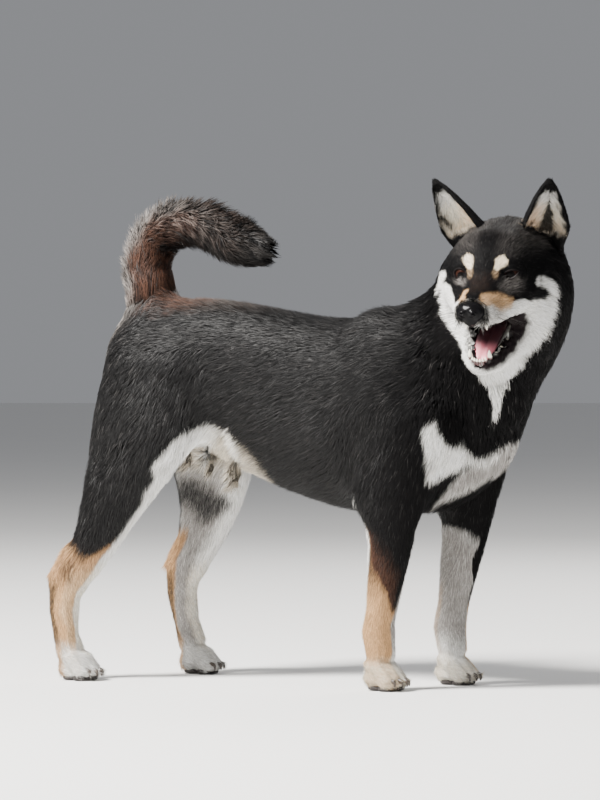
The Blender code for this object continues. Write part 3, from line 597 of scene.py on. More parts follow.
def coat_material():
    s = Shader("coat", Roughness=0.48)
    speckle = s.scaled(s.noise(900.0, 1.0), 0.75, 1.3)
    shade = s.node("CombineColor", {0: speckle, 1: speckle, 2: speckle}).outputs[0]
    s.set("Base Color", s.mix(1.0, s.attribute("coat"), shade, "MULTIPLY"))
    s.set("Specular IOR Level", s.scaled(s.attribute("shine", "Fac"), 0.03, 0.20))
    return s.material


def skin_material():
    """Short undercoat with the coat's markings, and dark wet lips and palate where it is bare."""
    s = Shader("skin")
    bare = s.attribute("bare", "Fac")
    place = s.place()
    lie = s.vectors("SUBTRACT", s.attribute("lie"), (0.5, 0.5, 0.5))
    reach = s.maths("MULTIPLY", s.vectors("DOT_PRODUCT", place, lie, "Value"), 3.5)
    run = s.node("VectorMath", {0: lie, "Scale": reach}, operation="SCALE").outputs[0]
    streaks = s.noise(900.0, 3.0, s.vectors("SUBTRACT", place, run))
    fur = s.mix(s.scaled(streaks, 0.1, 0.6), s.attribute("coat"), BLACK)
    folds = s.noise(160.0, 4.0)
    lining = s.mix(folds, (0.003, 0.0026, 0.0028), (0.009, 0.0055, 0.006))
    s.set("Base Color", s.mix(bare, fur, lining))
    s.set("Roughness", s.scaled(bare, 0.8, 0.42))
    s.set("Specular IOR Level", s.scaled(bare, 0.06, 0.05))
    rough = s.maths("MULTIPLY", streaks, s.maths("SUBTRACT", 1.0, bare))
    s.bump(s.maths("ADD", rough, s.maths("MULTIPLY", folds, 0.2)), 0.5, 0.0012)
    return s.material


def nose_material():
    s = Shader("nose", Coat_Weight=0.10, Coat_Roughness=0.16, Specular_IOR_Level=0.03)
    s.set("Base Color", s.grain(300.0, (0.0015, 0.0015, 0.0018), (0.005, 0.0045, 0.005)))
    s.roughness(500.0, 0.25, 0.45)
    cells = s.node("TexVoronoi", {"Vector": s.place(), "Scale": 1300.0}, feature="DISTANCE_TO_EDGE")
    s.bump(cells.outputs["Distance"], 0.35, 0.0004)
    return s.material


def tongue_material():
    s = Shader("tongue", Specular_IOR_Level=0.5, Coat_Weight=0.25, Coat_Roughness=0.2)
    s.set("Subsurface Weight", 0.15)
    s.set("Subsurface Radius", (0.004, 0.0015, 0.001))
    flesh = s.grain(160.0, (0.70, 0.16, 0.22), (0.86, 0.33, 0.38), 3.0)
    # the flesh darkens towards the back as painted shade in the throat
    s.set("Base Color", s.mix(s.attribute("painted_shade", "Fac"), flesh, (0.045, 0.014, 0.018)))
    s.roughness(500.0, 0.3, 0.5)
    s.bump(s.noise(1400.0, 1.0), 0.5, 0.0005)
    return s.material


def tooth_material():
    s = Shader("tooth", Specular_IOR_Level=0.5, Coat_Weight=0.3, Coat_Roughness=0.15)
    enamel = s.grain(260.0, (0.80, 0.74, 0.60), (0.88, 0.85, 0.76))
    s.set("Base Color", s.mix(s.attribute("gum", "Fac"), enamel, (0.06, 0.022, 0.022)))
    s.roughness(400.0, 0.2, 0.35)
    return s.material


def claw_material():
    s = Shader("claw", Specular_IOR_Level=0.5)
    s.set("Base Color", s.grain(500.0, (0.020, 0.016, 0.014), (0.075, 0.055, 0.042)))
    s.roughness(700.0, 0.28, 0.5)
    s.bump(s.noise(900.0), 0.3, 0.0003)
    return s.material


def whisker_material():
    s = Shader("whisker", Specular_IOR_Level=0.2, Roughness=0.5)
    s.set("Base Color", s.grain(600.0, (0.006, 0.005, 0.005), (0.030, 0.026, 0.024)))
    return s.material


def pad_material():
    s = Shader("pad", Specular_IOR_Level=0.3)
    s.set("Base Color", s.grain(500.0, (0.014, 0.012, 0.012), (0.05, 0.042, 0.04)))
    s.roughness(700.0, 0.55, 0.8)
    s.bump(s.noise(1500.0), 0.6, 0.0006)
    return s.material


def eye_material():
    """Dark brown iris with fine spokes, a wide pupil, and a dark edge into the brownish white."""
    s = Shader("eye", Roughness=0.3, Coat_Weight=0.02, Coat_Roughness=0.05, Specular_IOR_Level=0.04)
    off = s.attribute("off_axis", "Fac")
    spokes = s.grain(900.0, (0.012, 0.005, 0.004), (0.032, 0.012, 0.008), 3.0)
    iris = s.mix(s.step(off, 0.26, 0.30), (0.002, 0.0016, 0.0016), spokes)
    s.set("Base Color", s.mix(s.step(off, 0.56, 0.64), iris, (0.030, 0.020, 0.018)))
    return s.material


def lid_material():
    s = Shader("lid")
    wet = s.attribute("bare", "Fac")
    s.set("Base Color", s.mix(wet, s.attribute("coat"), (0.007, 0.005, 0.005)))
    s.set("Roughness", s.scaled(wet, 0.8, 0.45))
    s.set("Specular IOR Level", s.scaled(wet, 0.03, 0.08))
    s.bump(s.noise(800.0), 0.5, 0.0006)
    return s.material


# Markings


CHEEK_EDGES = {  # height and the distance from the middle where the white of the cheeks ends
    LEFT: (
        (-0.113, 0.000), (-0.108, 0.014), (-0.099, 0.030), (-0.090, 0.043), (-0.068, 0.055),
        (-0.039, 0.0635), (-0.0145, 0.0670), (0.000, 0.067),
    ),
    RIGHT: (
        (-0.113, 0.000), (-0.102, 0.005), (-0.090, 0.013), (-0.079, 0.022), (-0.067, 0.032),
        (-0.056, 0.042), (-0.044, 0.0520), (-0.031, 0.0570), (-0.0145, 0.0580), (0.000, 0.058),
    ),
}
# Lines along the white crescent beside the eye, the dark line below it and the tan of the left cheek,
# by forward, out and height
CRESCENT = ((-0.0185, 0.0530, -0.0072), (-0.028, 0.0590, -0.0120), (-0.042, 0.0655, -0.024))
CHEEK_SHADE = ((0.000, 0.036, -0.016), (-0.026, 0.056, -0.0240), (-0.034, 0.062, -0.0250))
CHEEK_TAN = (
    (0.0440, 0.0110, -0.0215), (0.0345, 0.0125, -0.0205),
    (0.0240, 0.0195, -0.0240), (0.0150, 0.0270, -0.0250),
)
LIP_LEFT = (  # forward and height of the corners of the dark flesh seen on the left
    (-0.0040, -0.0385),
    (-0.0152, -0.0390),
    (-0.0190, -0.0497),
    (-0.0175, -0.0603),
    (-0.0105, -0.0712),
    (0.0035, -0.0811),
    (0.0125, -0.0880),
    (0.0209, -0.0905),
    (0.0290, -0.0900),
    (0.0290, -0.0830),
    (0.0150, -0.0740),
    (0.0070, -0.0600),
    (0.0070, -0.0460),
)
LIP_CHIN = ((0.0220, 0.0080, -0.0875), (0.0235, 0.0000, -0.0865), (0.0200, -0.0070, -0.0845))
LIP_RIGHT = (
    (0.0200, -0.0070, -0.0850),
    (0.0100, -0.0130, -0.0770),
    (-0.0030, -0.0185, -0.0670),
    (-0.0160, -0.0215, -0.0560),
)
LIP_RIM = ((0.0180, 0.0215, -0.0450), (0.0030, 0.0300, -0.0410))


def lips(h, grown=0.0):
    """1 on the bare dark lips, which the pull of the open mouth shows widest on the left."""
    h = h + 0.0010 * ripple(h, 0.007, 31)[:, None]
    left = polygon(h[:, [0, 2]], LIP_LEFT, 0.0008 + grown) * ramp(h[:, 1], 0.006, 0.010)
    others = (
        strand(h, line, [r + grown for r in radii], 0.16)
        for line, radii in (
            (LIP_CHIN, (0.0042, 0.0036, 0.0032)),
            (LIP_RIGHT, (0.0030, 0.0028, 0.0024, 0.0022)),
            (LIP_RIM, (0.0024, 0.0036)),
        )
    )
    return np.maximum.reduce([left, *others])


def cheek_white(h, edge):
    """1 on the white of the muzzle and the cheeks, with an uneven edge."""
    x, y, z = h[:, 0], np.abs(h[:, 1]), h[:, 2]
    right = h[:, 1] < 0
    top = -0.0245 + 0.006 * ramp(y, 0.050, 0.060) + 0.013 * ramp(y, 0.026, 0.036) * right
    top = top + 0.007 * ramp(x, 0.028, 0.040) - 0.003 * ramp(x, 0.000, 0.012) * fall(y, 0.024, 0.034)
    top = top + edge * 1.2
    reach = np.where(right, *(read_off(CHEEK_EDGES[k], z) for k in (RIGHT, LEFT))) + edge
    white = fall(z, top - 0.002, top + 0.002) * fall(y, reach - 0.003, reach + 0.002)
    return white * ramp(x, -0.050 + edge, -0.042 + edge)


def head_masks(h):
    """(colour, share) layers on the head, in its own frame, from the bottom layer up."""
    edge = 0.0015 * ripple(h, 0.011, 3)
    x, y, z = h[:, 0], np.abs(h[:, 1]), h[:, 2]
    right = h[:, 1] < 0
    p = np.stack([x, y, z], axis=1) + edge[:, None] * np.array((0.6, 1.0, 1.0))
    outer = p + (0.0045 * right)[:, None] * np.array((0, 1, 0))  # the right's marks lie further in
    crescent = strand(outer, CRESCENT, (0.0060, 0.0074, 0.0078), 0.35)
    shade = strand(p, CHEEK_SHADE, (0.0070, 0.0040, 0.0022), 0.4)
    brow = strand(p, ((0.0055, 0.0135, 0.0072), (0.0030, 0.0165, 0.0125)), (0.0038, 0.0062), 0.25)
    ring = blob(outer, (0.0060, 0.0262, -0.0066), (0.012, 0.0080, 0.0042), 0.5)
    below = blob(p, (0.0040, 0.0270, -0.0095), (0.014, 0.0110, 0.0080), 0.6)
    corner = blob(p, (0.0085, 0.0125, 0.0010), (0.008, 0.0030, 0.0050), 0.5)
    bridge = blob(p, (0.0200, 0.0030, -0.0060), (0.018, 0.0070, 0.0100), 0.6)
    broad = strand(p, CHEEK_TAN, (0.0060, 0.0078, 0.0095, 0.0060), 0.45)
    slim = strand(p, ((0.0249, 0.0138, -0.0139), (0.0502, 0.0097, -0.0207)), (0.0036, 0.0042), 0.45)
    cheek = np.where(right, slim, broad)
    # pad: the white underside of the muzzle, which gets painted shade
    pad = blob(p, (0.0310, 0.0165, -0.0370), (0.022, 0.0100, 0.0085), 0.6)
    crown = ramp(z, 0.010, 0.030) * ramp(y, 0.004, 0.020) + 0.5 * ramp(z, 0.034, 0.046)
    return [
        (BROWN, 0.35 * bridge),
        (GREY, 0.10 * np.clip(crown, 0, 1)),
        (WHITE, cheek_white(h, edge)),
        (WHITE, crescent),
        (BLACK, 0.92 * shade * ~right),
        (GREY, np.where(right, 0.42 * ring, 0.30 * below)),
        (SAND, 0.25 * corner),
        (TAN, 0.75 * cheek),
        (SAND, 0.35 * cheek),
        (CREAM, brow),
        (SAND, 0.25 * brow),
        # the grey under the muzzle is painted shade over its white
        (GREY, 0.65 * pad),
    ]


VIEW_TURN = math.radians(24)  # the chest's markings are given on a plane turned this far from its side
THROAT = (  # to the right on that plane, and up
    (0.064, 0.345), (0.114, 0.345), (0.114, 0.327), (0.1065, 0.3115), (0.0975, 0.299), (0.0940, 0.290),
    (0.0925, 0.282), (0.0900, 0.273), (0.0880, 0.266), (0.0865, 0.266), (0.0832, 0.276), (0.0800, 0.284),
    (0.0765, 0.2930), (0.0730, 0.302), (0.0690, 0.3130),
)
BOW_RIGHT = (
    (0.0176, 0.260), (0.0265, 0.2654), (0.0336, 0.2547), (0.0407, 0.2450), (0.0513, 0.2390),
    (0.0584, 0.2345), (0.0744, 0.2270), (0.0860, 0.2325), (0.0913, 0.2298), (0.0762, 0.2201),
    (0.0593, 0.2218), (0.0496, 0.2156), (0.0336, 0.2103), (0.0247, 0.2049), (0.0202, 0.2067),
    (0.0229, 0.2174), (0.0193, 0.2281), (0.0167, 0.2405),
)
BOW_LEFT = (
    (0.0567, 0.2156), (0.0744, 0.2227), (0.0833, 0.2316), (0.0975, 0.2405), (0.1135, 0.2432),
    (0.1260, 0.2410), (0.1200, 0.2174), (0.1029, 0.2103), (0.0833, 0.2103), (0.0602, 0.1961),
    (0.0424, 0.1890), (0.0265, 0.1783), (0.0424, 0.1978),
)
GROIN_FOLDS = (  # (along, side, height) of lines along pale folds of the groin, and their radii
    (((-0.186, -0.044, 0.256), (-0.180, -0.038, 0.246), (-0.172, -0.020, 0.230)), (0.005, 0.007, 0.011)),
    (((-0.200, -0.044, 0.257), (-0.228, -0.052, 0.232)), (0.008, 0.0075)),
    (((-0.205, -0.030, 0.244), (-0.195, 0.000, 0.232), (-0.205, 0.030, 0.244)), (0.016, 0.020, 0.016)),
)


def body_masks(dog, spine):
    edge = 0.0035 * ripple(dog, 0.022, 5)
    p = dog + edge[:, None]
    along, _, height = spine.T
    cos, sin = math.cos(VIEW_TURN), math.sin(VIEW_TURN)
    plane = np.stack([dog[:, 0] * cos + dog[:, 1] * sin, height], axis=1) + 0.6 * edge[:, None]
    near = fall(dog[:, 1] * cos - dog[:, 0] * sin, -0.030, -0.012)
    throat = polygon(plane, THROAT, 0.0022) * near
    bow_right, bow_left = (polygon(plane, corners, 0.0035) * near for corners in (BOW_RIGHT, BOW_LEFT))
    shaded = blob(p, at(-0.215, 0.0, 0.220), (0.064, 0.058, 0.046), 0.25)
    rust = blob(p, at(-0.262, 0, 0.396), (0.040, 0.045, 0.018), 0.7)
    saddle = blob(p, at(-0.215, 0, 0.398), (0.075, 0.040, 0.014), 0.7)
    under = blob(p, at(-0.314, 0, 0.378), (0.024, 0.026, 0.052), 0.6)
    folds = [strand(p, [at(*place) for place in line], radii, 0.35) for line, radii in GROIN_FOLDS]
    back = ramp(height, 0.372, 0.388) * fall(along, -0.20, -0.10)
    return [
        (BROWN, 0.30 * back),
        (GREY, 0.16 * saddle),
        (RUST, 0.42 * rust),
        (GREY, 0.60 * under),
        (WHITE, throat),
        (WHITE, np.maximum(bow_right, bow_left)),
        # the grey over the left of the chest's white bow is painted shade
        (GREY, 0.85 * bow_left * (1 - bow_right)),
        (CREAM, shaded),
        # the groin's fur is cream, and the grey over it is painted shade
        (GREY, 0.45 * shaded),
        (CREAM, 0.60 * folds[2]),
        (WHITE, np.maximum(folds[0], folds[1])),
        (CREAM, 0.35 * np.maximum(folds[0], folds[1])),
    ]


def leg_frame(points, axis, side):
    """(forward, outward) about the leg's own middle, as shares of its radius, and the height."""
    dog = dog_frame(points)
    heights, x, y, size = axis
    across = np.interp(dog[:, 2], heights, size)
    forward = (dog[:, 0] - np.interp(dog[:, 2], heights, x)) / across
    return forward, side * (dog[:, 1] - np.interp(dog[:, 2], heights, y)) / across, dog[:, 2]


FORE_EDGE = (  # angle round the leg, 0 in front and 90 outside, and the height where the black ends
    (-180, 0.162), (-150, 0.156), (-60, 0.152), (-28, 0.146), (-18, 0.105), (0, 0.084), (30, 0.079),
    (48, 0.088), (62, 0.100), (85, 0.106), (108, 0.113), (119, 0.117), (132, 0.126), (142, 0.160),
    (150, 0.190), (180, 0.178),
)
FORE_INSIDE = ((0.07, 9), (0.10, -3), (0.13, -15))  # height and the angle where the white inside begins
FORE_BEHIND = ((0.07, 152), (0.13, 146), (0.15, 142), (0.19, 138))  # and where it ends, at the back
HIND_EDGE = (  # as above, on the outside
    (-180, 0.150), (20, 0.140), (50, 0.126), (60, 0.124), (110, 0.130), (160, 0.136), (180, 0.145),
)
HIND_STRIPE = (  # height and the angle out to which the front edge is white
    (0.000, 44), (0.030, 40), (0.100, 26), (0.121, 20), (0.137, 17), (0.156, 15), (0.177, 18), (0.201, 29),
    (0.222, 45), (0.240, 25), (0.262, -6), (0.285, -60),
)
HIND_PATCH = (  # angle and height in mm of the black patch inside
    (-175, 206), (-150, 204), (-102, 200), (-60, 195), (-38, 191), (-28, 183), (-36, 173), (-50, 164),
    (-71, 157), (-95, 160), (-130, 172), (-175, 182),
)


def around_leg(front, out, height, seed):
    """Angle and height, made uneven."""
    angle = np.degrees(np.arctan2(out, front))
    ring = np.stack([np.cos(np.radians(angle)), np.sin(np.radians(angle)), height * 24], axis=1)
    return angle + 2.4 * ripple(ring, 0.9, seed), height + 0.0032 * ripple(ring, 1.3, seed + 10)


def below_edge(table, angle, z, blur):
    return fall(z - read_off(table, angle), -blur, blur)


def between(angle, low, high, soft=12):
    return ramp(angle, low - soft, low + soft) * fall(angle, high - soft, high + soft)


def foreleg_masks(front, out, height):
    angle, z = around_leg(front, out, height, 8)
    pale = below_edge(FORE_EDGE, angle, z, 0.007)
    mixed = below_edge(FORE_EDGE, angle, z - 0.026, 0.020) * between(angle, 25, 150)
    mixed = mixed * fall(z, 0.145, 0.170)
    inside = fall(angle - read_off(FORE_INSIDE, z), -8, 8)
    inner = np.clip(inside + ramp(angle - read_off(FORE_BEHIND, z), -8, 8), 0, 1)
    grizzle = pale * (1 - inner) * between(angle, 20, 150) * ramp(z, 0.084, 0.128)
    foot = fall(z, 0.020, 0.038)
    return [
        (BROWN, 0.9 * mixed),
        (RUST, 0.45 * mixed),
        (TAN, pale * (1 - inner)),
        (RUST, 0.40 * pale * (1 - inner) * ramp(z, 0.085, 0.120)),
        (BROWN, 0.80 * grizzle),
        (WHITE, pale * inner),
        # the grey over the white inside the forelegs is painted shade, for the far leg in the body's shadow
        (GREY, 0.85 * pale * inner * ramp(z, 0.030, 0.060) * fall(angle, 100, 130)),
        (TAN, 0.30 * pale * inner * between(angle, -240, -120) * fall(z, 0.075, 0.110)),
        (CREAM, 0.65 * foot),
    ]


def hindleg_masks(front, out, height):
    angle, z = around_leg(front, out, height, 9)
    stripe = fall(angle - read_off(HIND_STRIPE, z), -6, 6)
    inner = stripe * ramp(angle, -165, -145)
    outer = 1 - stripe * ramp(angle, -125, -105)
    pale = below_edge(HIND_EDGE, angle, z, 0.006) * outer
    patch = polygon(np.stack([angle, z * 1000], axis=1), HIND_PATCH, 11.0)
    low = fall(z, 0.100, 0.125)
    heel = between(np.abs(angle), 120, 200) * ramp(z, 0.024, 0.040) * fall(z, 0.094, 0.110)
    grey = between(angle, 70, 120) * ramp(z, 0.098, 0.108) * fall(z, 0.118, 0.130)
    foot = fall(z, 0.024, 0.042) * (1 - 0.8 * ramp(np.abs(angle), 95, 130))
    return [
        (BROWN, 0.7 * below_edge(HIND_EDGE, angle, z, 0.016) * outer),
        (WHITE, inner),
        # the grey over the white inside the hind legs is painted shade, for the far leg in the body's
        # shadow
        (GREY, 0.85 * inner * ramp(-angle, 20, 60)),
        (CREAM, 0.60 * inner * low * fall(-angle, 30, 70)),
        (TAN, pale),
        (RUST, 0.35 * pale * ramp(z, 0.090, 0.115)),
        (SAND, 0.65 * pale * between(angle, 10, 85) * low),
        (BROWN, 0.55 * grey),
        (BLACK, 0.85 * patch),
        (BLACK, 0.75 * heel),
        (WHITE, 0.85 * foot),
    ]


SIDES = ((RIGHT, "right"), (LEFT, "left"))


def both(names):
    """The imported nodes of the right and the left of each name."""
    return [f"{name}_{word}" for name in names for _, word in SIDES]


FORE_NODES = ("upper_arm", "forearm", "forefoot")
HIND_NODES = ("thigh", "shank", "hindfoot")
LEGS = {"fore": (FORE_NODES, 0.210), "hind": (HIND_NODES, 0.260)}  # nodes, and how high each leg goes


def leg_axes():
    """For each leg, rows of height, x and y of its middle, and its radius."""
    axes = {}
    for name, (group, top) in LEGS.items():
        for side, word in SIDES:
            points = dog_frame(np.vstack([coordinates(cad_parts[f"{n}_{word}"].data) for n in group]))
            table = []
            for height in np.linspace(0.035, top, 14):
                near = points[np.abs(points[:, 2] - height) < 0.012][:, :2]
                low, high = near.min(axis=0), near.max(axis=0)
                table.append([height, *((low + high) / 2), max(high - low) / 2])
            axes[(name, side)] = np.array(table).T
    return axes


LEG_AXES = leg_axes()


DITHER = 0.9  # how much single tufts differ within a blend of two colours


def layered(count, layers, random=None):
    """The colours that layers of (colour, share) give. Tufts differ where a share is neither 0 nor 1."""
    colour = np.tile(np.array(BLACK), (count, 1))
    for tone, share in layers:
        share = np.clip(share, 0, 1)
        if random is not None:
            share = np.clip(share + 4 * DITHER * share * (1 - share) * (random.random(count) - 0.5), 0, 1)
        colour += (np.array(tone) - colour) * share[:, None]
    return colour


def coat_colour(points, weights, random=None):
    """Markings at points. weights tells how much each point belongs to the head and to each leg."""
    layers = body_masks(dog_frame(points), spine_frame(points))
    front = np.clip(weights["head"] * 1.6 - 0.3, 0, 1)
    layers += [(tone, share * front) for tone, share in head_masks(head_frame(points))]
    for (group, side), axis in LEG_AXES.items():
        masks = foreleg_masks if group == "fore" else hindleg_masks
        member = weights[(group, side)]
        layers += [(tone, share * member) for tone, share in masks(*leg_frame(points, axis, side))]
    return layered(len(points), layers, random)


# Skin


def label_points(points, nodes):
    """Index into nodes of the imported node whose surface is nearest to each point."""
    corners, faces, owner, count = [], [], [], 0
    for number, node in enumerate(nodes):
        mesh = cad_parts[node].data
        tris, _ = triangles(mesh)
        corners.append(coordinates(mesh))
        faces.append(tris + count)
        owner += [number] * len(tris)
        count += len(corners[-1])
    tree = BVHTree.FromPolygons(np.vstack(corners).tolist(), np.vstack(faces).tolist())
    return np.array([owner[tree.find_nearest(p)[2]] for p in points.tolist()])


def smoothed(values, edges, rounds):
    """Values of vertices, spread over a mesh by averaging each with its neighbours."""
    values = np.array(values, float)
    count = np.bincount(edges.ravel(), minlength=len(values)).astype(float) + 1
    if values.ndim == 2:
        count = count[:, None]
    for _ in range(rounds):
        total = values.copy()
        np.add.at(total, edges[:, 0], values[edges[:, 1]])
        np.add.at(total, edges[:, 1], values[edges[:, 0]])
        values = total / count
    return values


def edges_of(mesh):
    return values_of(mesh.edges, "vertices", 2, np.int32)


BODY, FACE, TAIL_PART, FEET_PART = 0, 1, 4, 5  # the parts that the skin is joined from
EAR_PARTS = {RIGHT: 2, LEFT: 3}
HEAD_NODES = ["head", "jaw"]
EAR_NODES = both(["ear"])
LEG_NODES = both(FORE_NODES + HIND_NODES)
PAW_NODES = both(["forefoot", "hindfoot", "forearm", "shank"])
TRUNK_NODES = ["rump", "loin", "chest", "neck"]
TAIL_NODES = ["tail_base", "tail_middle", "tail_tip"]
NODES = TRUNK_NODES + LEG_NODES + HEAD_NODES + EAR_NODES

# Coat by node: depth, length, tufts per square millimetre, width, all lengths in mm
COAT = {
    "rump": (3.8, 14, 0.52, 0.90),
    "loin": (3.8, 13, 0.52, 0.90),
    "chest": (4.2, 14, 0.52, 0.90),
    "neck": (5.0, 17, 0.38, 1.00),
    "upper_arm": (3.0, 12, 0.54, 0.88),
    "forearm": (2.0, 8, 0.66, 0.80),
    "forefoot": (1.2, 5, 0.90, 0.72),
    "thigh": (3.6, 14, 0.50, 0.92),
    "shank": (2.5, 10, 0.58, 0.85),
    "hindfoot": (1.5, 6, 0.76, 0.75),
    "head": (2.2, 8, 0.80, 0.85),
    "jaw": (1.6, 7, 0.90, 0.85),
    "ear": (0.8, 6, 1.10, 0.65),
}


UNITS = np.array((1e-3, 1e-3, 1e6, 1e-3))


def coat_row(node):
    """Depth, length, tufts per square metre and width of a node's coat."""
    return np.array(COAT[node.rsplit("_", 1)[0] if node.endswith(("right", "left")) else node]) * UNITS


EAR_PLACES = {
    RIGHT: ((-0.060, -0.0420, 0.029), (-0.048, -0.0675, 0.0845), (0.93, -0.42, 0.05)),
    LEFT: ((-0.060, 0.0430, 0.030), (-0.050, 0.0500, 0.0880), (0.93, 0.40, -0.05)),
}
EAR_WIDTHS = (  # share of the ear's height, and its half width there
    (-0.12, 0.0270), (0.12, 0.0258), (0.35, 0.0222), (0.62, 0.0162), (0.84, 0.0100), (1.0, 0.0045),
)


def ear_axes(side):
    """The foot of an ear, the way up from it, its height and the way it faces, in the head's frame."""
    base, tip, face = (np.array(v, float) for v in EAR_PLACES[side])
    return base, direction(tip - base), np.linalg.norm(tip - base), direction(face)


def ear_frame(h, side):
    """How far up and across an ear points lie, as shares of its height and its half width."""
    base, run, height, face = ear_axes(side)
    off = h - base
    up = off @ run / height
    return up, off @ np.cross(run, face) / read_off(EAR_WIDTHS, up)


def lip_shift(h):
    """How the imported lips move: they hang at the right and in front, and are pressed where bare."""
    x, y, z = h.T
    side = np.sign(y)
    gap = mouth_gap(h)
    near = np.exp(-((np.maximum(gap, 0) / 0.0045) ** 2)) * ramp(x, -0.050, -0.030)
    flap = near * ramp(-y, 0.002, 0.012) * ramp(-z, 0.044, 0.056)
    droop = near * ramp(0.026 - np.abs(y), 0.0, 0.008) * ramp(x, -0.005, 0.012) * ramp(z, -0.056, -0.048)
    bumps = 0.0003 * ripple(h, 0.0065, 61) * ramp(gap, -0.001, 0.001)
    pressed = np.stack([bumps - 0.0006, side * (bumps - 0.0014), bumps + 0.0004], axis=1) * lips(h)[:, None]
    return pressed + np.stack([np.zeros(len(h)), 0.0035 * flap, -0.0035 * droop], axis=1)


def push_back(points, line, start, end, radius, share=1.0):
    """Moves points that stand out round a line back along it, to a distance from its first point."""
    root, axis, _ = line_axis(line)
    along = (points - root) @ axis
    gap = np.linalg.norm(points - root - along[:, None] * axis, axis=1)
    near = (along > start) & (along < end) & (gap < radius)
    points[near] -= (along[near, None] - start) * axis * share


def sculpt(points, part):
    """Moves what teeth and claws left in the skin back under it, and shapes lips and ears' feet."""
    h = head_frame(points)
    shift = lip_shift(h) * (part == FACE)[:, None]
    for side, number in EAR_PARTS.items():
        base, run, height, _ = ear_axes(side)
        foot = (part == number) * fall((h - base) @ run / height, 0.00, 0.16)
        shift -= (run * 0.012 + np.array((0.0, side * 0.006, 0.0))) * foot[:, None]
    moved = points + shift @ HEAD_AXES.T
    inner = (part == BODY) * fall(face_zone(h), 0.78, 0.94)
    moved -= unit(points - np.array(on_head(-0.020, 0.0, -0.035))) * (0.0035 * inner)[:, None]
    for line, width in TOOTH_LINES:
        push_back(moved, line, 0.004, line_axis(line)[2] + 0.006, width + 0.0018)
    for line in CLAW_LINES:
        push_back(moved, line, 0.010, 0.025, 0.005, 0.8)
    return moved


UPPER_TEETH = (  # forward, out, height, half width; incisors, the canine, then premolars
    (0.0415, 0.0016, 0.0034, 0.0014),
    (0.0408, 0.0046, 0.0036, 0.0014),
    (0.0390, 0.0073, 0.0042, 0.0015),
    (0.0330, 0.0105, 0.0100, 0.0024),
    (0.0225, 0.0132, 0.0040, 0.0024),
    (0.0130, 0.0158, 0.0048, 0.0030),
    (0.0010, 0.0185, 0.0058, 0.0038),
)
LOWER_TEETH = (
    (0.0385, 0.0014, 0.0032, 0.0013),
    (0.0378, 0.0041, 0.0034, 0.0013),
    (0.0362, 0.0066, 0.0038, 0.0014),
    (0.0320, 0.0098, 0.0095, 0.0023),
    (0.0215, 0.0132, 0.0036, 0.0022),
    (0.0125, 0.0158, 0.0042, 0.0026),
    (0.0010, 0.0188, 0.0050, 0.0032),
)
UPPER_LEVEL = -0.0400
LOWER_LEVEL = -0.0395
CHEEK_TEETH = 0.03  # the teeth behind this are set deeper, and the lower ones are short


def tooth_lines():
    """A line from the root to the tip of each tooth, and its half width."""
    lines = []
    for place, arch, level, up, short in (
        (on_head, UPPER_TEETH, UPPER_LEVEL, -1, 1.0),
        (on_jaw, LOWER_TEETH, LOWER_LEVEL, 1, 0.6),
    ):
        for side, _ in SIDES:
            for x, y, height, width in arch:
                behind = x < CHEEK_TEETH
                foot = level - up * 0.0018 * behind
                rise = up * height * (short if behind else 1.0)
                line = (
                    place(x, side * y, foot - up * 0.004),
                    place(x, side * y, foot + rise * 0.15),
                    place(x - 0.0002, side * y, foot + rise * 0.60),
                    place(x - 0.0008, side * y * 1.01, foot + rise),
                )
                lines.append(([tuple(p) for p in line], width))
    return lines


FEET = {  # along, side, out, turned out
    "forefoot_right": (0.004, RIGHT, 0.055, math.radians(4)),
    "forefoot_left": (0.020, LEFT, 0.055, math.radians(4)),
    "hindfoot_right": (-0.347, RIGHT, 0.068, math.radians(5)),
    "hindfoot_left": (-0.278, LEFT, 0.070, math.radians(5)),
}


def foot_frame(along, side, out, turn):
    """A function from forward, outward and up within a foot to the model's frame, and its outward way."""
    heading = float(np.interp(along, SPINE[0], SPINE[3])) + side * turn
    base = at(along, side * out, 0) + SHIFT
    forward = Vector((math.cos(heading), math.sin(heading), 0))
    outward = Vector((-math.sin(heading), math.cos(heading), 0)) * side
    return lambda x, y, z: base + forward * x + outward * y + Vector((0, 0, z)), outward


def toes():
    """How far out and forward each toe of a foot reaches."""
    return [(k * TOE_STEP, TOE_REACH - abs(k) * 0.0036) for k in (-1.5, -0.5, 0.5, 1.5)]


def claw_lines():
    lines = []
    for foot in FEET.values():
        place, _ = foot_frame(*foot)
        for out, reach in toes():
            line = (
                place(reach - 0.008, out * 1.08, 0.0120),
                place(reach + 0.0015, out * 1.09, 0.0105),
                place(reach + 0.0065, out * 1.10, 0.0065),
                place(reach + 0.0082, out * 1.10, 0.0020),
            )
            lines.append([tuple(p) for p in line])
    return lines


TOOTH_LINES = tooth_lines()
CLAW_LINES = claw_lines()


def join(name, objects):
    """Objects' meshes as one, and the number of vertices that came from each."""
    shapes, counts = [], []
    for obj in objects:
        tris, _ = triangles(obj.data)
        shapes.append((coordinates(obj.data), tris))
        counts.append(len(obj.data.vertices))
        mesh = obj.data
        bpy.data.objects.remove(obj)
        bpy.data.meshes.remove(mesh)
    points, faces = merged(shapes)
    return new_object(name, mesh_from(name, points, faces)), counts


def tail_tube():
    steps = np.linspace(-0.012, TAIL_LENGTH - 0.010, 60)
    centre, _, side, through, _ = along_tail(steps)
    end = ((steps - TAIL_LENGTH + 0.026) / 0.0165).clip(0, 1)
    thick = tail_core(steps) * np.sqrt(np.clip(1 - end**2, 0.05, 1))
    return new_object("tail_tube", mesh_from("tail_tube", *sweep(centre, side, through, thick, thick, 28)))


def face_zone(h):
    """Below 1 where the finer mesh of the face stands for the body's."""
    return ((h[:, 0] + 0.020) / 0.085) ** 2 + (h[:, 1] / 0.082) ** 2 + ((h[:, 2] + 0.035) / 0.088) ** 2


def cut_where(obj, outside):
    """Removes some vertices, and leaves the mesh open there."""
    with edited(obj.data) as bm:
        verts = list(bm.verts)
        bmesh.ops.delete(bm, geom=[verts[i] for i in np.nonzero(outside)[0]], context="VERTS")


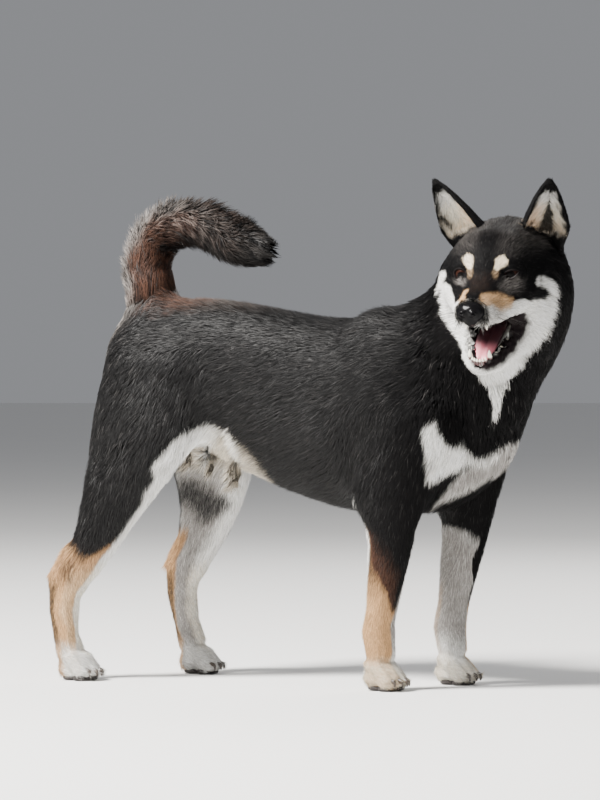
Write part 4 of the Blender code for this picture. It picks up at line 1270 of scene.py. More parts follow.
def flesh():
    """All the flesh as one object, with the part that each vertex came from and the node it belongs to."""
    body_nodes = TRUNK_NODES + LEG_NODES + HEAD_NODES
    face_nodes = [*HEAD_NODES, "neck"]
    body = remeshed("body", body_nodes, SKIN_VOXEL, 3)
    face = remeshed("face", face_nodes, HEAD_VOXEL, 3)
    cut_where(face, face_zone(head_frame(coordinates(face.data))) > 1)
    drop_scraps(face)
    feet = remeshed("feet", PAW_NODES, FOOT_VOXEL, 2, keep_all=True)
    cut_where(feet, coordinates(feet.data)[:, 2] > FOOT_TOP)
    cut_where(body, coordinates(body.data)[:, 2] < FOOT_TOP - 0.006)
    ears = [remeshed(node, [node], EAR_VOXEL, 2) for node in EAR_NODES]
    obj, counts = join("skin", [body, face, *ears, tail_tube(), feet])
    part = np.repeat(np.arange(len(counts)), counts)
    points = coordinates(obj.data)
    owner = np.full(len(points), NODES.index("rump"))
    for number, nodes in ((BODY, body_nodes), (FACE, face_nodes), (FEET_PART, PAW_NODES)):
        labels = label_points(points[part == number], nodes)
        owner[part == number] = np.array([NODES.index(node) for node in nodes])[labels]
    for number, node in zip(EAR_PARTS.values(), EAR_NODES):
        owner[part == number] = NODES.index(node)
    return obj, part, owner


def make_skin():
    """The flesh with its coat's depth taken off, and the fields that the coat grows by."""
    obj, part, owner = flesh()
    mesh = obj.data
    points = sculpt(coordinates(mesh), part)
    edges = edges_of(mesh)
    set_points(mesh, points)
    normals = coordinates(mesh, normals=True)
    rows = np.array([coat_row(node) for node in NODES])[owner]
    fields = skin_fields(points, normals, np.array(NODES)[owner], part, rows, edges)
    set_points(mesh, shape_sockets(points - normals * fields["depth"][:, None]))
    colour = ear_colour(points, normals, part, coat_colour(points, fields["weights"]))
    tail = part == TAIL_PART
    colour[tail] = tail_colour(points[tail], None)
    set_attribute(mesh, "coat", colour * 0.8)
    set_attribute(mesh, "bare", fields["bare"])
    set_attribute(mesh, "lie", fields["lie"] * 0.5 + 0.5)
    declared(obj, skin_material(), "black_coat", *NODES, *TAIL_NODES)
    unwrap(obj)
    return obj, fields


def towards(lie, way, share):
    """Ways turned towards others, each by a share of its own."""
    return lie + (way - lie) * share[:, None]


def lie_of(points, normals, names, part):
    """The way the hair lies at each vertex, not yet laid on the surface."""
    along, _, height = spine_frame(points).T
    heading = np.interp(along, SPINE[0], SPINE[3])
    level = np.zeros(len(points))
    forward = np.stack([np.cos(heading), np.sin(heading), level], axis=1)
    side = np.stack([-np.sin(heading), np.cos(heading), level], axis=1)
    up = np.array((0.0, 0.0, 1.0))
    out = np.abs((normals * side).sum(axis=1))
    lie = -forward - (0.15 + 0.40 * out)[:, None] * up
    front = ramp(along, 0.02, 0.085) * ramp((normals * forward).sum(axis=1), -0.1, 0.5)
    lie = towards(lie, -up - 0.15 * forward, front)
    rear = ramp(-along, 0.235, 0.290) * ramp(-normals[:, 0], 0.1, 0.7)
    rear = np.maximum(rear, ramp(-along, 0.262, 0.290) * ramp(height, 0.360, 0.380))
    lie = towards(lie, -up - 0.25 * forward, rear)
    for name, back in (("upper_arm", 0.30), ("forearm", 0.12), ("thigh", 0.40), ("shank", 0.25)):
        mine = np.char.startswith(names, name)
        lie[mine] = (-up - back * forward)[mine]
    for foot, ankle in (("forefoot", 0.034), ("hindfoot", 0.040)):
        mine = np.char.startswith(names, foot)
        toe = ramp(ankle - points[mine, 2], 0.0, 0.014)[:, None]
        lie[mine] = forward[mine] * (0.25 + toe) - up * (1.0 - 0.55 * toe)
    groin = blob(dog_frame(points), at(-0.205, 0.0, 0.235), (0.050, 0.058, 0.034), 0.3)
    lie = head_lie(towards(unit(lie), -up - 0.7 * forward, groin), points, names)
    for ear_side, number in EAR_PARTS.items():
        lie[part == number] = HEAD_AXES @ ear_axes(ear_side)[1]
    return unit(lie)


def head_lie(lie, points, names):
    """On the neck down and away from the head, and on the head itself back over the face."""
    h = head_frame(points)
    on_neck = np.isin(names, ["neck", *HEAD_NODES])
    away = unit(points - np.array(on_head(-0.030, 0, 0))) - np.array((0, 0, 0.75))
    lie = unit(np.where(on_neck[:, None], away, lie))
    cheek = ramp(-h[:, 0], 0.01, 0.05) * ramp(np.abs(h[:, 1]), 0.02, 0.045)
    out = np.clip(h[:, 1] / 0.04, -1, 1)
    flow = np.stack([-1.0 + 0.25 * cheek, 0.20 * out, -0.05 - 0.55 * cheek], axis=1)
    flow = towards(flow, np.array((-0.8, 0.0, -0.45)), ramp(-h[:, 2], 0.045, 0.075))
    return towards(lie, unit(flow) @ HEAD_AXES.T, faceness(h) * on_neck)


def faceness(h):
    """1 on the head proper, 0 on the neck and the chest below it."""
    top = ramp(h[:, 2], 0.000, 0.030)
    long, high = 0.064 + 0.016 * top, 0.078 + 0.022 * top
    x, y, z = h.T
    reach = np.sqrt(((x + 0.012) / long) ** 2 + (y / 0.068) ** 2 + ((z + 0.020) / high) ** 2)
    jaw = strand(h, ((-0.030, 0, -0.075), (0.015, 0, -0.088)), (0.035, 0.022), 0.15)
    return np.maximum(fall(reach, 0.88, 1.08), jaw)


def face_rows(h):
    """Depth, length, tufts per square metre and width of the coat on the head proper."""
    back = np.clip((0.050 - h[:, 0]) / 0.125, 0, 1)
    side = ramp(np.abs(h[:, 1]), 0.018, 0.050) * ramp(-h[:, 0], -0.005, 0.035)
    cheek = np.clip(back * 0.35 + 0.65 * side * ramp(0.012 - h[:, 2], 0.0, 0.03), 0, 1) * back
    crown = ramp(h[:, 2], 0.012, 0.034) * ramp(-h[:, 0], 0.015, 0.040)
    return (
        0.0010 + 0.0008 * back + 0.0022 * cheek + 0.0006 * crown,
        0.0030 + 0.0050 * back + 0.0075 * cheek + 0.0040 * crown,
        1.40e6 - 0.35e6 * back - 0.55e6 * cheek,
        0.00058 + 0.00030 * back + 0.0001 * cheek,
    )


def comb_ears(h, normals, part, fields):
    """Longer hair in the cup of each ear, laid inwards from both rims."""
    for side, number in EAR_PARTS.items():
        mine = part == number
        inside, up, across = ear_inside(h[mine], normals[mine], side)
        length = 0.0050 + 0.0065 * inside * ramp(up, -0.1, 0.2) * (1 - 0.5 * ramp(up, 0.4, 0.8))
        length *= (1 - 0.5 * ear_slit(up, across, side)) * (1 - 0.45 * ramp(up, 0.72, 0.92))
        fields["length"][mine] = length
        fields["depth"][mine] += 0.0030 * inside * fall(up, 0.3, 0.8)
        inward = HEAD_AXES @ np.array((0.3, -0.9 * side, 0.0))
        turned = 0.5 * inward * (inside * np.sign(across) * side)[:, None]
        fields["lie"][mine] = unit(fields["lie"][mine] + turned)


def leg_and_head_weights(head, names, edges):
    """How much each vertex belongs to the head and to each leg."""
    weights = {"head": smoothed(np.maximum(head, np.isin(names, EAR_NODES)), edges, 4)}
    for group, (nodes, _) in LEGS.items():
        for side, word in SIDES:
            member = np.isin(names, [f"{node}_{word}" for node in nodes])
            weights[(group, side)] = smoothed(member, edges, 8)
    return weights


def skin_fields(points, normals, names, part, rows, edges):
    """What the coat grows by at each vertex: its measures, lie and markings, and where the skin is bare."""
    h = head_frame(points)
    gap = mouth_gap(h)
    head = faceness(h) * np.isin(names, ["neck", *HEAD_NODES])
    measures = rows.T.copy()
    for values, on_neck, on_face in zip(measures, coat_row("neck"), face_rows(h)):
        values[np.isin(names, HEAD_NODES)] = on_neck
        values += (on_face - values) * head
    lining = fall(gap, 0.0002, 0.0014) * ramp(h[:, 0], -0.056, -0.048)
    wet = np.maximum(lining, lips(h)) * (part == FACE)
    measures[0] *= 1 - wet
    depth, length, density, width = (smoothed(values, edges, 12) for values in measures)
    beside = np.maximum(lips(h, 0.006), fall(gap, 0.002, 0.006)) * ramp(h[:, 0], -0.05, -0.03)
    length *= 1 - 0.60 * beside * (part == FACE)
    along, _, height = spine_frame(points).T
    rear = ramp(-along, 0.270, 0.300) * ramp(height, 0.23, 0.27)
    fringe = blob(dog_frame(points), at(-0.196, -0.020, 0.242), (0.040, 0.045, 0.022), 0.4)
    length *= 1 + (0.35 * rear + 0.10 * fringe) * (part == BODY)
    fields = {
        "part": part, "depth": depth, "length": length, "density": density, "width": width,
        "weights": leg_and_head_weights(head, names, edges),
        "lie": unit(smoothed(lie_of(points, normals, names, part), edges, 14)),
        "bare": smoothed(wet, edges, 1),
    }
    comb_ears(h, normals, part, fields)
    fields["spread"] = np.clip(length / 0.014, 0.35, 1.0)
    return fields


def ear_inside(h, normals, side):
    """How far points of an ear belong to its cup, from their place and the way they face, and ear_frame."""
    facing = normals @ (HEAD_AXES @ ear_axes(side)[3])
    up, across = ear_frame(h, side)
    wide = 0.76 - 0.16 * ramp(up, 0.1, 0.6)
    middle = 0.02
    if side == RIGHT:  # its broader rim is the inner one, and both are broader near the foot
        middle = 0.10 * ramp(up, 0.05, 0.45)
        wide = wide - 0.16 * fall(up, 0.10, 0.45)
    rim = fall(np.abs(across + middle), wide - 0.12, wide + 0.08)
    rim = rim * fall(up, 0.62, 0.74) * ramp(up, -0.04, 0.04)
    return ramp(facing, -0.15, 0.15) * rim, up, across


def ear_slit(up, across, side):
    """1 in the hollow, which shows in the left ear; the coat there is painted black as shade."""
    flat = np.stack([0.3 * across, up, 0 * up], axis=1)
    painted_shade = strand(flat, ((0.020, 0.02, 0), (0.045, 0.66, 0)), (0.110, 0.035), 0.4)
    return painted_shade * (side == LEFT)


def ear_colour(points, normals, part, colour, random=None):
    """Black backs, rims and tips, cream hair inside with a pinkish base, and painted shade in the hollow.
    """
    for side, number in EAR_PARTS.items():
        mine = part == number
        own = points[mine]
        uneven = head_frame(own) + 0.0012 * ripple(own, 0.009, 12)[:, None]
        inside, up, across = ear_inside(uneven, normals[mine], side)
        base = inside * fall(up, 0.25, 0.60)
        layers = [
            (WHITE, 0.88 * inside),
            (GREY, 0.35 * inside * ramp(up, 0.40, 0.75)),
            (CREAM, 0.85 * base),
            (PEACH, 0.70 * base * ramp(-side * across, 0.0, 0.5)),
            (SAND, 0.45 * inside * fall(up, 0.02, 0.22)),
            # the black in the hollow is painted shade
            (BLACK, 0.95 * inside * ear_slit(up, across, side)),
        ]
        colour[mine] = layered(len(own), layers, random)
    return colour


def tail_colour(points, random):
    """Grey fringe on the outer side of the curl, brown and reddish within, black brush at the end."""
    gaps = np.linalg.norm(points[:, None] - TAIL[None, :, :3], axis=2)
    distance = TAIL_STEPS[gaps.argmin(axis=1)]
    centre, _, _, through, _ = along_tail(distance)
    outer = (unit(points - centre) * through).sum(axis=1) + 0.14 * ripple(points, 0.030, 14)
    share = distance / TAIL_LENGTH + 0.03 * ripple(points, 0.020, 16)
    mottle = 0.5 + 0.35 * ripple(points, 0.011, 15)
    if random is not None:
        mottle = mottle + random.normal(0, 0.30, len(points))
    mottle = np.clip(mottle, 0, 1)
    pale = ramp(outer, -0.05, 0.75) * fall(share, 0.30, 0.64)
    rust = fall(outer, 0.2, 0.8) * fall(share, 0.45, 0.75)
    inner = fall(outer, -0.85, -0.35) * ramp(share, 0.22, 0.32)
    middle = fall(np.abs(outer), 0.3, 0.8) * ramp(share, 0.32, 0.45) * fall(share, 0.60, 0.85)
    return layered(
        len(points),
        [
            (BROWN, 0.90 * mottle * fall(share, 0.80, 1.0)),
            (RUST, 0.50 * rust * (0.25 + 0.75 * mottle)),
            (BLACK, 0.85 * inner),
            (GREY, 0.30 * middle * mottle**3),
            (GREY, 0.10 * mottle**2 * ramp(share, 0.55, 0.70)),
            (GREY, pale * (0.16 + 0.46 * mottle)),
            (WHITE, 0.04 * pale * mottle**2),
        ],
    )


# Eyes and lids


LID_EDGE = (  # outwards, up, share of the height of the opening
    (-0.0070, -0.0022, 0.00),
    (-0.0063, -0.0019, 0.36),
    (-0.0036, -0.0008, 0.90),
    (0.0010, 0.0004, 1.00),
    (0.0044, 0.0016, 0.70),
    (0.0066, 0.0024, 0.24),
    (0.0073, 0.0027, 0.00),
)
LID_LIMIT = 0.0093  # how far from the way an eye looks its lids can open
EYE_HEIGHTS = {RIGHT: 0.0062, LEFT: 0.0030}
LOOK = {RIGHT: (-0.0034, -0.0030), LEFT: (-0.0016, 0.0004)}  # outwards and up, where the openings lie
LID_STEPS = (  # where rings of points lie between the lids' inner and outer edge
    0.0, 0.015, 0.035, 0.06, 0.085, 0.11, 0.14, 0.18, 0.23, 0.30, 0.38, 0.47, 0.57, 0.68, 0.80, 0.92, 1.0,
)
LID_AROUND = 72
LID_REACH = math.radians(82)  # how far round the eye from its front the lids end
EYE_RINGS, EYE_AROUND = 40, 56
CORNEA = 0.0006  # how far the front of the eye stands out
CORNEA_REACH = 38  # degrees from its front


def eye_axes(side):
    """The middle of an eye and the ways (forward, outward, up) from it."""
    ways = [in_eye(side, *way) - in_eye(side, 0, 0, 0) for way in ((1, 0, 0), (0, 1, 0), (0, 0, 1))]
    ways = [tuple((HEAD.to_3x3() @ way).normalized()) for way in ways]
    return np.array(HEAD @ in_eye(side, 0, 0, 0)), np.array(ways)


EYE_AXES = {side: eye_axes(side) for side, _ in SIDES}


def shape_sockets(points):
    """Pushes the skin round each eye under where the lids lie."""
    moved = points.copy()
    for side, _ in SIDES:
        centre, axes = EYE_AXES[side]
        off = points - centre
        reach = np.linalg.norm(off, axis=1)
        angle = np.degrees(np.arccos(np.clip(off @ axes[0] / np.maximum(reach, 1e-6), -1, 1)))
        near = (reach < EYE_RADIUS + 0.006) & (angle < 74)
        new = np.minimum(reach, EYE_RADIUS - 0.0012)
        moved[near] = centre + off[near] / reach[near, None] * new[near, None]
    return moved


def eyeball(side):
    """An eye as (points, faces), and the angle of each point from where it looks, in quarter turns."""
    centre, axes = EYE_AXES[side]
    outward, upward = LOOK[side]
    look = direction(axes[0] * EYE_RADIUS + outward * axes[1] + upward * axes[2])
    up = direction(axes[2] - (axes[2] @ look) * look)
    angles = np.linspace(0, math.pi, EYE_RINGS + 1)[1:-1]
    degrees = np.degrees(angles)
    radius = EYE_RADIUS + CORNEA * np.maximum(0, 1 - (degrees / CORNEA_REACH) ** 2)
    centres = centre + look * (np.cos(angles) * radius)[:, None]
    wide = np.sin(angles) * radius
    count = len(angles)
    poles = (centre + look * (EYE_RADIUS + CORNEA), centre - look * EYE_RADIUS)
    ball = sweep(centres, [np.cross(up, look)] * count, [up] * count, wide, wide, EYE_AROUND, poles)
    return ball, [*np.repeat(degrees / 90, EYE_AROUND), 0.0, 2.0]


def make_eyes():
    material = eye_material()
    for side, word in SIDES:
        ball, off_axis = eyeball(side)
        obj = solid_piece(f"eyeball_{word}", [ball], material, "eye", f"eye_{word}")
        set_attribute(obj.data, "off_axis", off_axis)


def lid_opening(side):
    """Points (outwards, up) spread evenly round the opening between an eye's lids."""
    edge = smooth_line(LID_EDGE, 6) + np.array((*LOOK[side], 0))
    rise = edge[:, 2] * EYE_HEIGHTS[side]
    upper = np.stack([edge[:, 0], edge[:, 1] + rise], axis=1)
    lower = np.stack([edge[:, 0], edge[:, 1] - rise * 0.92], axis=1)[::-1][1:-1]
    loop = np.vstack([upper, lower])
    loop *= np.minimum(1, LID_LIMIT / np.linalg.norm(loop, axis=1))[:, None]
    closed = np.vstack([loop, loop[:1]])
    steps = distances(closed)
    spots = np.linspace(0, steps[-1], LID_AROUND, endpoint=False)
    return np.stack([np.interp(spots, steps, closed[:, k]) for k in range(2)], axis=1)


def lid_ways(side):
    """Ways from the middle of an eye, from its opening out to the lids' outer edge."""
    loop = lid_opening(side)
    radius = EYE_RADIUS + 0.0003
    forward = np.sqrt(np.maximum(1e-8, radius**2 - (loop**2).sum(axis=1)))
    start = np.column_stack([forward, loop]) / radius
    out, up = (loop - loop.mean(axis=0) * 0.6).T
    turn = np.arctan2(up, out)
    rim = np.sin(LID_REACH)
    end = np.column_stack([np.full(len(loop), math.cos(LID_REACH)), np.cos(turn) * rim, np.sin(turn) * rim])
    angle = np.arccos(np.clip((start * end).sum(axis=1), -1, 1))[:, None, None]
    share = np.array(LID_STEPS)[:, None]
    ways = np.sin((1 - share) * angle) * start[:, None] + np.sin(share * angle) * end[:, None]
    return ways / np.sin(angle) @ EYE_AXES[side][1]


def lid_reach(centre, ways, surface):
    """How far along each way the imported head's surface lies, evened out round the eye."""
    reach = np.full(ways.shape[:2], EYE_RADIUS + 0.002)
    for spot in np.ndindex(reach.shape):
        way = Vector(ways[spot])
        hit = surface.ray_cast(Vector(centre) + way * 0.05, -way, 0.048)
        if hit[0] is not None:
            reach[spot] = 0.05 - hit[3]
    reach = np.clip(reach, EYE_RADIUS + 0.0010, EYE_RADIUS + 0.0075)
    for _ in range(10):
        reach = (reach + np.roll(reach, 1, axis=0) + np.roll(reach, -1, axis=0)) / 3
    return reach


def lid_shape(side, surface):
    """Points and faces of the lids of one eye, with a thick rim, a few folds and a tucked outer edge."""
    centre, _ = EYE_AXES[side]
    ways = lid_ways(side)
    share = np.array(LID_STEPS)
    rim = EYE_RADIUS + 0.0002 + 0.0017 * np.minimum(1.0, share / 0.06) ** 0.6
    blend = ramp(share, 0.12, 0.85)
    fold = 0.0005 * np.sin(share * 26) * (1 - blend) * (share > 0.06)
    radius = rim * (1 - blend) + (lid_reach(centre, ways, surface) - 0.0006) * blend + fold
    radius[:, -1] -= 0.0030
    points = (centre + ways * radius[..., None]).reshape(-1, 3)
    count = len(share)
    faces = []
    for i in range(LID_AROUND):
        for j in range(count - 1):
            a, b = i * count + j, (i + 1) % LID_AROUND * count + j
            faces += [(a, a + 1, b + 1), (a, b + 1, b)]
    faces = np.array(faces)
    a, b, c = (points[faces[:, k]] for k in range(3))
    if (np.cross(b - a, c - a) * (a - centre)).sum() < 0:
        faces = faces[:, ::-1]
    return points, faces


def make_lids(surface):
    """A ring of skin from the edge of each eye's opening out to the face."""
    mesh = mesh_from("eyelids", *merged([lid_shape(side, surface) for side, _ in SIDES]))
    return declared(new_object("eyelids", mesh), lid_material(), "black_coat")


# Nose, tongue, teeth, claws, pads, whiskers


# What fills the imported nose's round nostril, and the comma that takes its place
PLUG = ((0.0645, 0.0050, -0.0300), (0.0545, 0.0062, -0.0306))
NOSTRIL = ((0.0660, 0.0046, -0.0308), (0.0645, 0.0080, -0.0302), (0.0600, 0.0125, -0.0335))
NOSTRIL_DEPTH = 0.0024


def nose_plugs():
    plugs = []
    radii = (0.0036, 0.0036, 0.0026)
    for side, _ in SIDES:
        front, back = (np.array(on_head(x, side * y, z)) for x, y, z in PLUG)
        run = direction(front - back)
        across = direction(np.cross(run, (0, 0, 1.0)))
        line = [back, front - run * 0.0006, front]
        plugs.append(sweep(line, [across] * 3, [np.cross(run, across)] * 3, radii, radii, 16))
    return plugs


def make_nose():
    """The nose's leather, with comma-shaped nostrils."""
    obj = remeshed("nose_leather", ["nose"], 0.0006, 8, 0.6, more=nose_plugs())
    mesh = obj.data
    points = coordinates(mesh)
    edges = edges_of(mesh)
    near, groove = np.zeros(len(points)), np.zeros(len(points))
    for side, _ in SIDES:
        mirror = head_frame(points) * np.array((1, side, 1))
        near = np.maximum(near, strand(mirror, ((0.0690, 0.0048, -0.0300), PLUG[1]), (0.0046, 0.0046), 0.3))
        groove = np.maximum(groove, strand(mirror, NOSTRIL, (0.0017, 0.0014, 0.0008), 0.5))
    for _ in range(60):
        points += (smoothed(points, edges, 1) - points) * near[:, None]
    set_points(mesh, points)
    set_points(mesh, points - coordinates(mesh, normals=True) * (NOSTRIL_DEPTH * groove)[:, None])
    mesh.shade_smooth()
    declared(obj, nose_material(), "nose_leather", "nose")


TONGUE_ROWS = (  # forward, height, half width, half depth, as with the mouth closed
    (-0.037, -0.0430, 0.0105, 0.0046),
    (-0.030, -0.0412, 0.0120, 0.0052),
    (-0.020, -0.0402, 0.0128, 0.0054),
    (-0.006, -0.0397, 0.0124, 0.0050),
    (0.008, -0.0402, 0.0116, 0.0044),
    (0.019, -0.0412, 0.0106, 0.0037),
    (0.0265, -0.0424, 0.0088, 0.0030),
    (0.0300, -0.0434, 0.0055, 0.0022),
)


TONGUE_AROUND = 28
TONGUE_GROOVE = 0.0016  # its depth, and half its width


def make_tongue():
    rows = smooth_line(TONGUE_ROWS, 5)
    rings = []
    for x, z, width, depth in rows:
        ring = []
        for k in range(TONGUE_AROUND):
            angle = 2 * math.pi * k / TONGUE_AROUND
            y, rise = math.cos(angle), math.sin(angle)
            groove = TONGUE_GROOVE * math.exp(-((y * width / TONGUE_GROOVE) ** 2))
            top = 0.0008 * abs(y) ** 3 - groove if rise > 0 else 0.0
            ring.append(on_jaw(x, y * width, z + rise * depth * (0.75 + 0.25 * abs(y)) + top))
        rings.append(ring)
    rings = np.array(rings)
    flesh_shape = tube(rings, (rings[0].mean(axis=0), rings[-1].mean(axis=0)))
    obj = solid_piece("tongue_flesh", [flesh_shape], tongue_material(), "tongue", "tongue")
    # the back of the tongue gets painted shade, darkest towards the throat
    painted_shade = ramp(-rows[:, 0], -0.022, -0.005)
    set_attribute(obj.data, "painted_shade", [*np.repeat(painted_shade, TONGUE_AROUND), painted_shade[0], painted_shade[-1]])


def make_teeth():
    shapes, gum = [], []
    left = HEAD_AXES @ np.array((0.0, 1.0, 0.0))
    for line, width in TOOTH_LINES:
        _, axis, reach = line_axis(line)
        widths = np.array((1.05, 1.05, 0.75, 0.12) if reach > 0.011 else (1.05, 1.05, 0.8, 0.30)) * width
        shapes.append(horn(line, widths, widths * 0.8, left, 10, 4))
        gum.append(fall((shapes[-1][0] - np.array(line[1])) @ axis, -0.0002, 0.0009))
    obj = solid_piece("teeth", shapes, tooth_material(), "tooth")
    set_attribute(obj.data, "gum", np.concatenate(gum))


CLAW_WIDTHS = (0.0019, 0.0018, 0.0013, 0.0005)
CLAW_DEPTHS = (0.0024, 0.0022, 0.0015, 0.0006)


def make_claws():
    shapes = []
    for number, line in enumerate(CLAW_LINES):
        _, outward = foot_frame(*list(FEET.values())[number // 4])
        line = np.array(line)
        line[2:] -= (line[3] - line[0]) * np.array([[0.18], [0.28]])
        shapes.append(horn(line, CLAW_WIDTHS, CLAW_DEPTHS, outward, 10, 4))
    solid_piece("claws", shapes, claw_material(), "claw")


PAD_HEIGHTS = (0.0004, 0.0012, 0.0030, 0.0060, 0.0085)
PAD_WIDTHS = (0.62, 0.92, 1.0, 0.85, 0.4)  # share of a pad's full size at each of them


def make_pads():
    shapes = []
    for foot in FEET.values():
        place, outward = foot_frame(*foot)
        forward = (place(1, 0, 0) - place(0, 0, 0)).normalized()
        spots = [(-0.002, 0.0, 0.0110, 0.0125)]
        spots += [(reach - 0.0095, out * 1.05, 0.0070, 0.0052) for out, reach in toes()]
        for x, y, *size in spots:
            centres = [place(x, y, z) for z in PAD_HEIGHTS]
            shapes.append(sweep(centres, [forward] * 5, [outward] * 5, *np.outer(size, PAD_WIDTHS), 18))
    solid_piece("paw_pads", shapes, pad_material(), "nose_leather")


WHISKERS = (  # forward, out and height of their roots on the lip, then over the eye
    (0.036, 0.0150, -0.0350), (0.033, 0.0175, -0.0385), (0.029, 0.0190, -0.0345),
    (0.027, 0.0205, -0.0400), (0.022, 0.0215, -0.0365), (0.038, 0.0125, -0.0400),
    (0.018, 0.0235, -0.0405), (0.004, 0.0150, 0.0190), (0.001, 0.0200, 0.0205),
)
WHISKER_RADII = (0.00020, 0.00016, 0.00011, 0.00004)


def make_whiskers():
    random = np.random.default_rng(21)
    shapes = []
    for side, _ in SIDES:
        for x, y, z in WHISKERS:
            brow = z > 0
            length = random.uniform(0.024, 0.036) * (0.45 if brow else 1.0)
            way = np.array((0.35, side * 0.25, 0.9) if brow else (-0.25, side, -0.18))
            way = direction(way + random.normal(size=3) * 0.13) * length
            droop = np.array((-0.22, 0, 0.05 if brow else -0.20)) * length
            start = np.array((x - 0.002, side * (y - 0.002), z))
            bends = ((0, 0), (0.35, 0), (0.7, 0.4), (1, 1))
            line = [on_head(*(start + way * share + droop * sag)) for share, sag in bends]
            shapes.append(horn(line, WHISKER_RADII, WHISKER_RADII, (0, 0, 1.0), 5, 3))
    solid_piece("whiskers", shapes, whisker_material(), "claw")


# Coat


CLUMP_TABLE = np.random.default_rng(99).normal(size=(4096, 3))


def clump(points, size):
    """A random vector shared by the tufts of each cell."""
    cell = np.floor(points / size + 0.35 * ripple(points, size * 3, 44)[:, None]).astype(np.int64)
    spot = (cell[:, 0] * 73856093) ^ (cell[:, 1] * 19349663) ^ (cell[:, 2] * 83492791)
    return CLUMP_TABLE[spot % 4096]


def scatter(chance, random):
    """Systematic choice of places on triangles: the triangle and the three weights of each place."""
    total = np.cumsum(chance)
    count = int(total[-1])
    picks = (np.arange(count) + random.random(count)) * total[-1] / count
    triangle = np.minimum(np.searchsorted(total, picks), len(total) - 1)
    root, b = np.sqrt(random.random(count)), random.random(count)
    return triangle, np.stack([1 - root, root * (1 - b), root * b], axis=1)


class Ground:
    """A surface that hair grows from: its triangles, normals, unwrap and fields."""

    def __init__(self, obj, fields):
        mesh = obj.data
        self.points = coordinates(mesh)
        self.normals = coordinates(mesh, normals=True)
        self.corners, loops = triangles(mesh)
        self.fields = fields
        self.uv = values_of(mesh.uv_layers["OFBake"].data, "uv", 2)[loops]
        edge = self.points[self.corners[:, 1:]] - self.points[self.corners[:, :1]]
        self.area = np.linalg.norm(np.cross(edge[:, 0], edge[:, 1]), axis=1) / 2
        self.tree = BVHTree.FromPolygons(self.points.tolist(), self.corners.tolist())

    def mean(self, values):
        """Each triangle's mean of values of its corners."""
        return values[self.corners].mean(axis=1)

    def blend(self, values, triangle, weights):
        """Values at places on triangles, given by the weights of their corners."""
        if values.ndim > 1:
            weights = weights[..., None]
        return (values[self.corners[triangle]] * weights).sum(axis=1)


def unwrap(obj):
    """A UV map of the skin's own shape."""
    mesh = obj.data
    mesh.uv_layers.new(name="OFBake")
    bpy.context.view_layer.objects.active = obj
    obj.select_set(True)
    bpy.ops.object.mode_set(mode="EDIT")
    bpy.ops.mesh.select_all(action="SELECT")
    bpy.ops.uv.smart_project(angle_limit=math.radians(70), island_margin=0.001)
    bpy.ops.object.mode_set(mode="OBJECT")
    obj.select_set(False)


def grow(ground, chance, seed, bent):
    """Roots, lies, lengths and so on of the tufts that chance (tufts per triangle) asks for."""
    random = np.random.default_rng(seed)
    triangle, weights = scatter(chance, random)
    lie, depth, length, width, spread = (
        ground.blend(ground.fields[name], triangle, weights)
        for name in ("lie", "depth", "length", "width", "spread")
    )
    root = ground.blend(ground.points, triangle, weights)
    normal = unit(ground.blend(ground.normals, triangle, weights))
    count = len(root)
    large, small = clump(root, 0.009), clump(root + 0.003, 0.0042)
    lie = lie + spread[:, None] * (0.10 * large + 0.10 * small + 0.09 * random.normal(size=(count, 3)))
    lie = unit(lie - (lie * normal).sum(axis=1)[:, None] * normal)
    length = length * (0.72 + 0.5 * random.random(count)) * (1 + 0.10 * large[:, 0])
    rise = depth * (0.55 + 0.55 * random.random(count)) * (1 + 0.07 * large[:, 1] + 0.07 * small[:, 1])
    rise = np.clip(rise, 0.0004, length * 0.75)
    uv = (ground.uv[triangle] * weights[..., None]).sum(axis=1)
    return {
        "root": root, "normal": normal, "lie": lie, "length": length, "rise": rise, "width": width,
        "uv": uv, "random": random, "triangle": triangle, "weights": weights, "bent": bent,
    }


def laid(ground, tufts, share, height):
    """Places at a share of each tuft's length and of its rise, following the surface below."""
    reach = np.sqrt(np.maximum(tufts["length"] ** 2 - tufts["rise"] ** 2, 1e-8))
    flat = tufts["root"] + tufts["lie"] * (reach * share)[:, None]
    lift = tufts["rise"] * height
    straight = flat + tufts["normal"] * lift[:, None]
    if not tufts["bent"]:
        return straight
    found = straight.copy()
    limit = 0.55 * tufts["length"] * share
    nearest = ground.tree.find_nearest
    for k, p in enumerate(flat.tolist()):
        place, way, _, gap = nearest(p)
        if gap < limit[k]:
            found[k] = np.array(place) + np.array(way) * lift[k]
    return found


SECTION = (math.pi / 2, math.pi * 7 / 6, math.pi * 11 / 6)  # a ridge above and two corners below
SMOOTHING = 0.6  # how far the light falls on a tuft as on the skin below it


def soften(mesh, normals):
    """Turns a coat's normals towards those of the skin below."""
    own = coordinates(mesh, normals=True)
    mesh.normals_split_custom_set_from_vertices(unit(own * (1 - SMOOTHING) + normals * SMOOTHING).tolist())


COAT_MATERIAL = coat_material()
PATCH = 0.003  # how much of the unwrap each tuft takes up
ROOT_PAINTED_SHADE, TIP_PAINTED_SHEEN = 0.55, 1.15  # how light a tuft is at its ends, against its colour: the darker root is painted shade among the hairs, and the lighter tip is painted sheen


def corners_of(centre, side, through, size, broad):
    """The ridge and the two lower corners of each tuft's section."""
    return [
        centre + (side * (math.cos(angle) * broad) + through * (math.sin(angle) * 0.30)) * size[:, None]
        for angle in SECTION
    ]


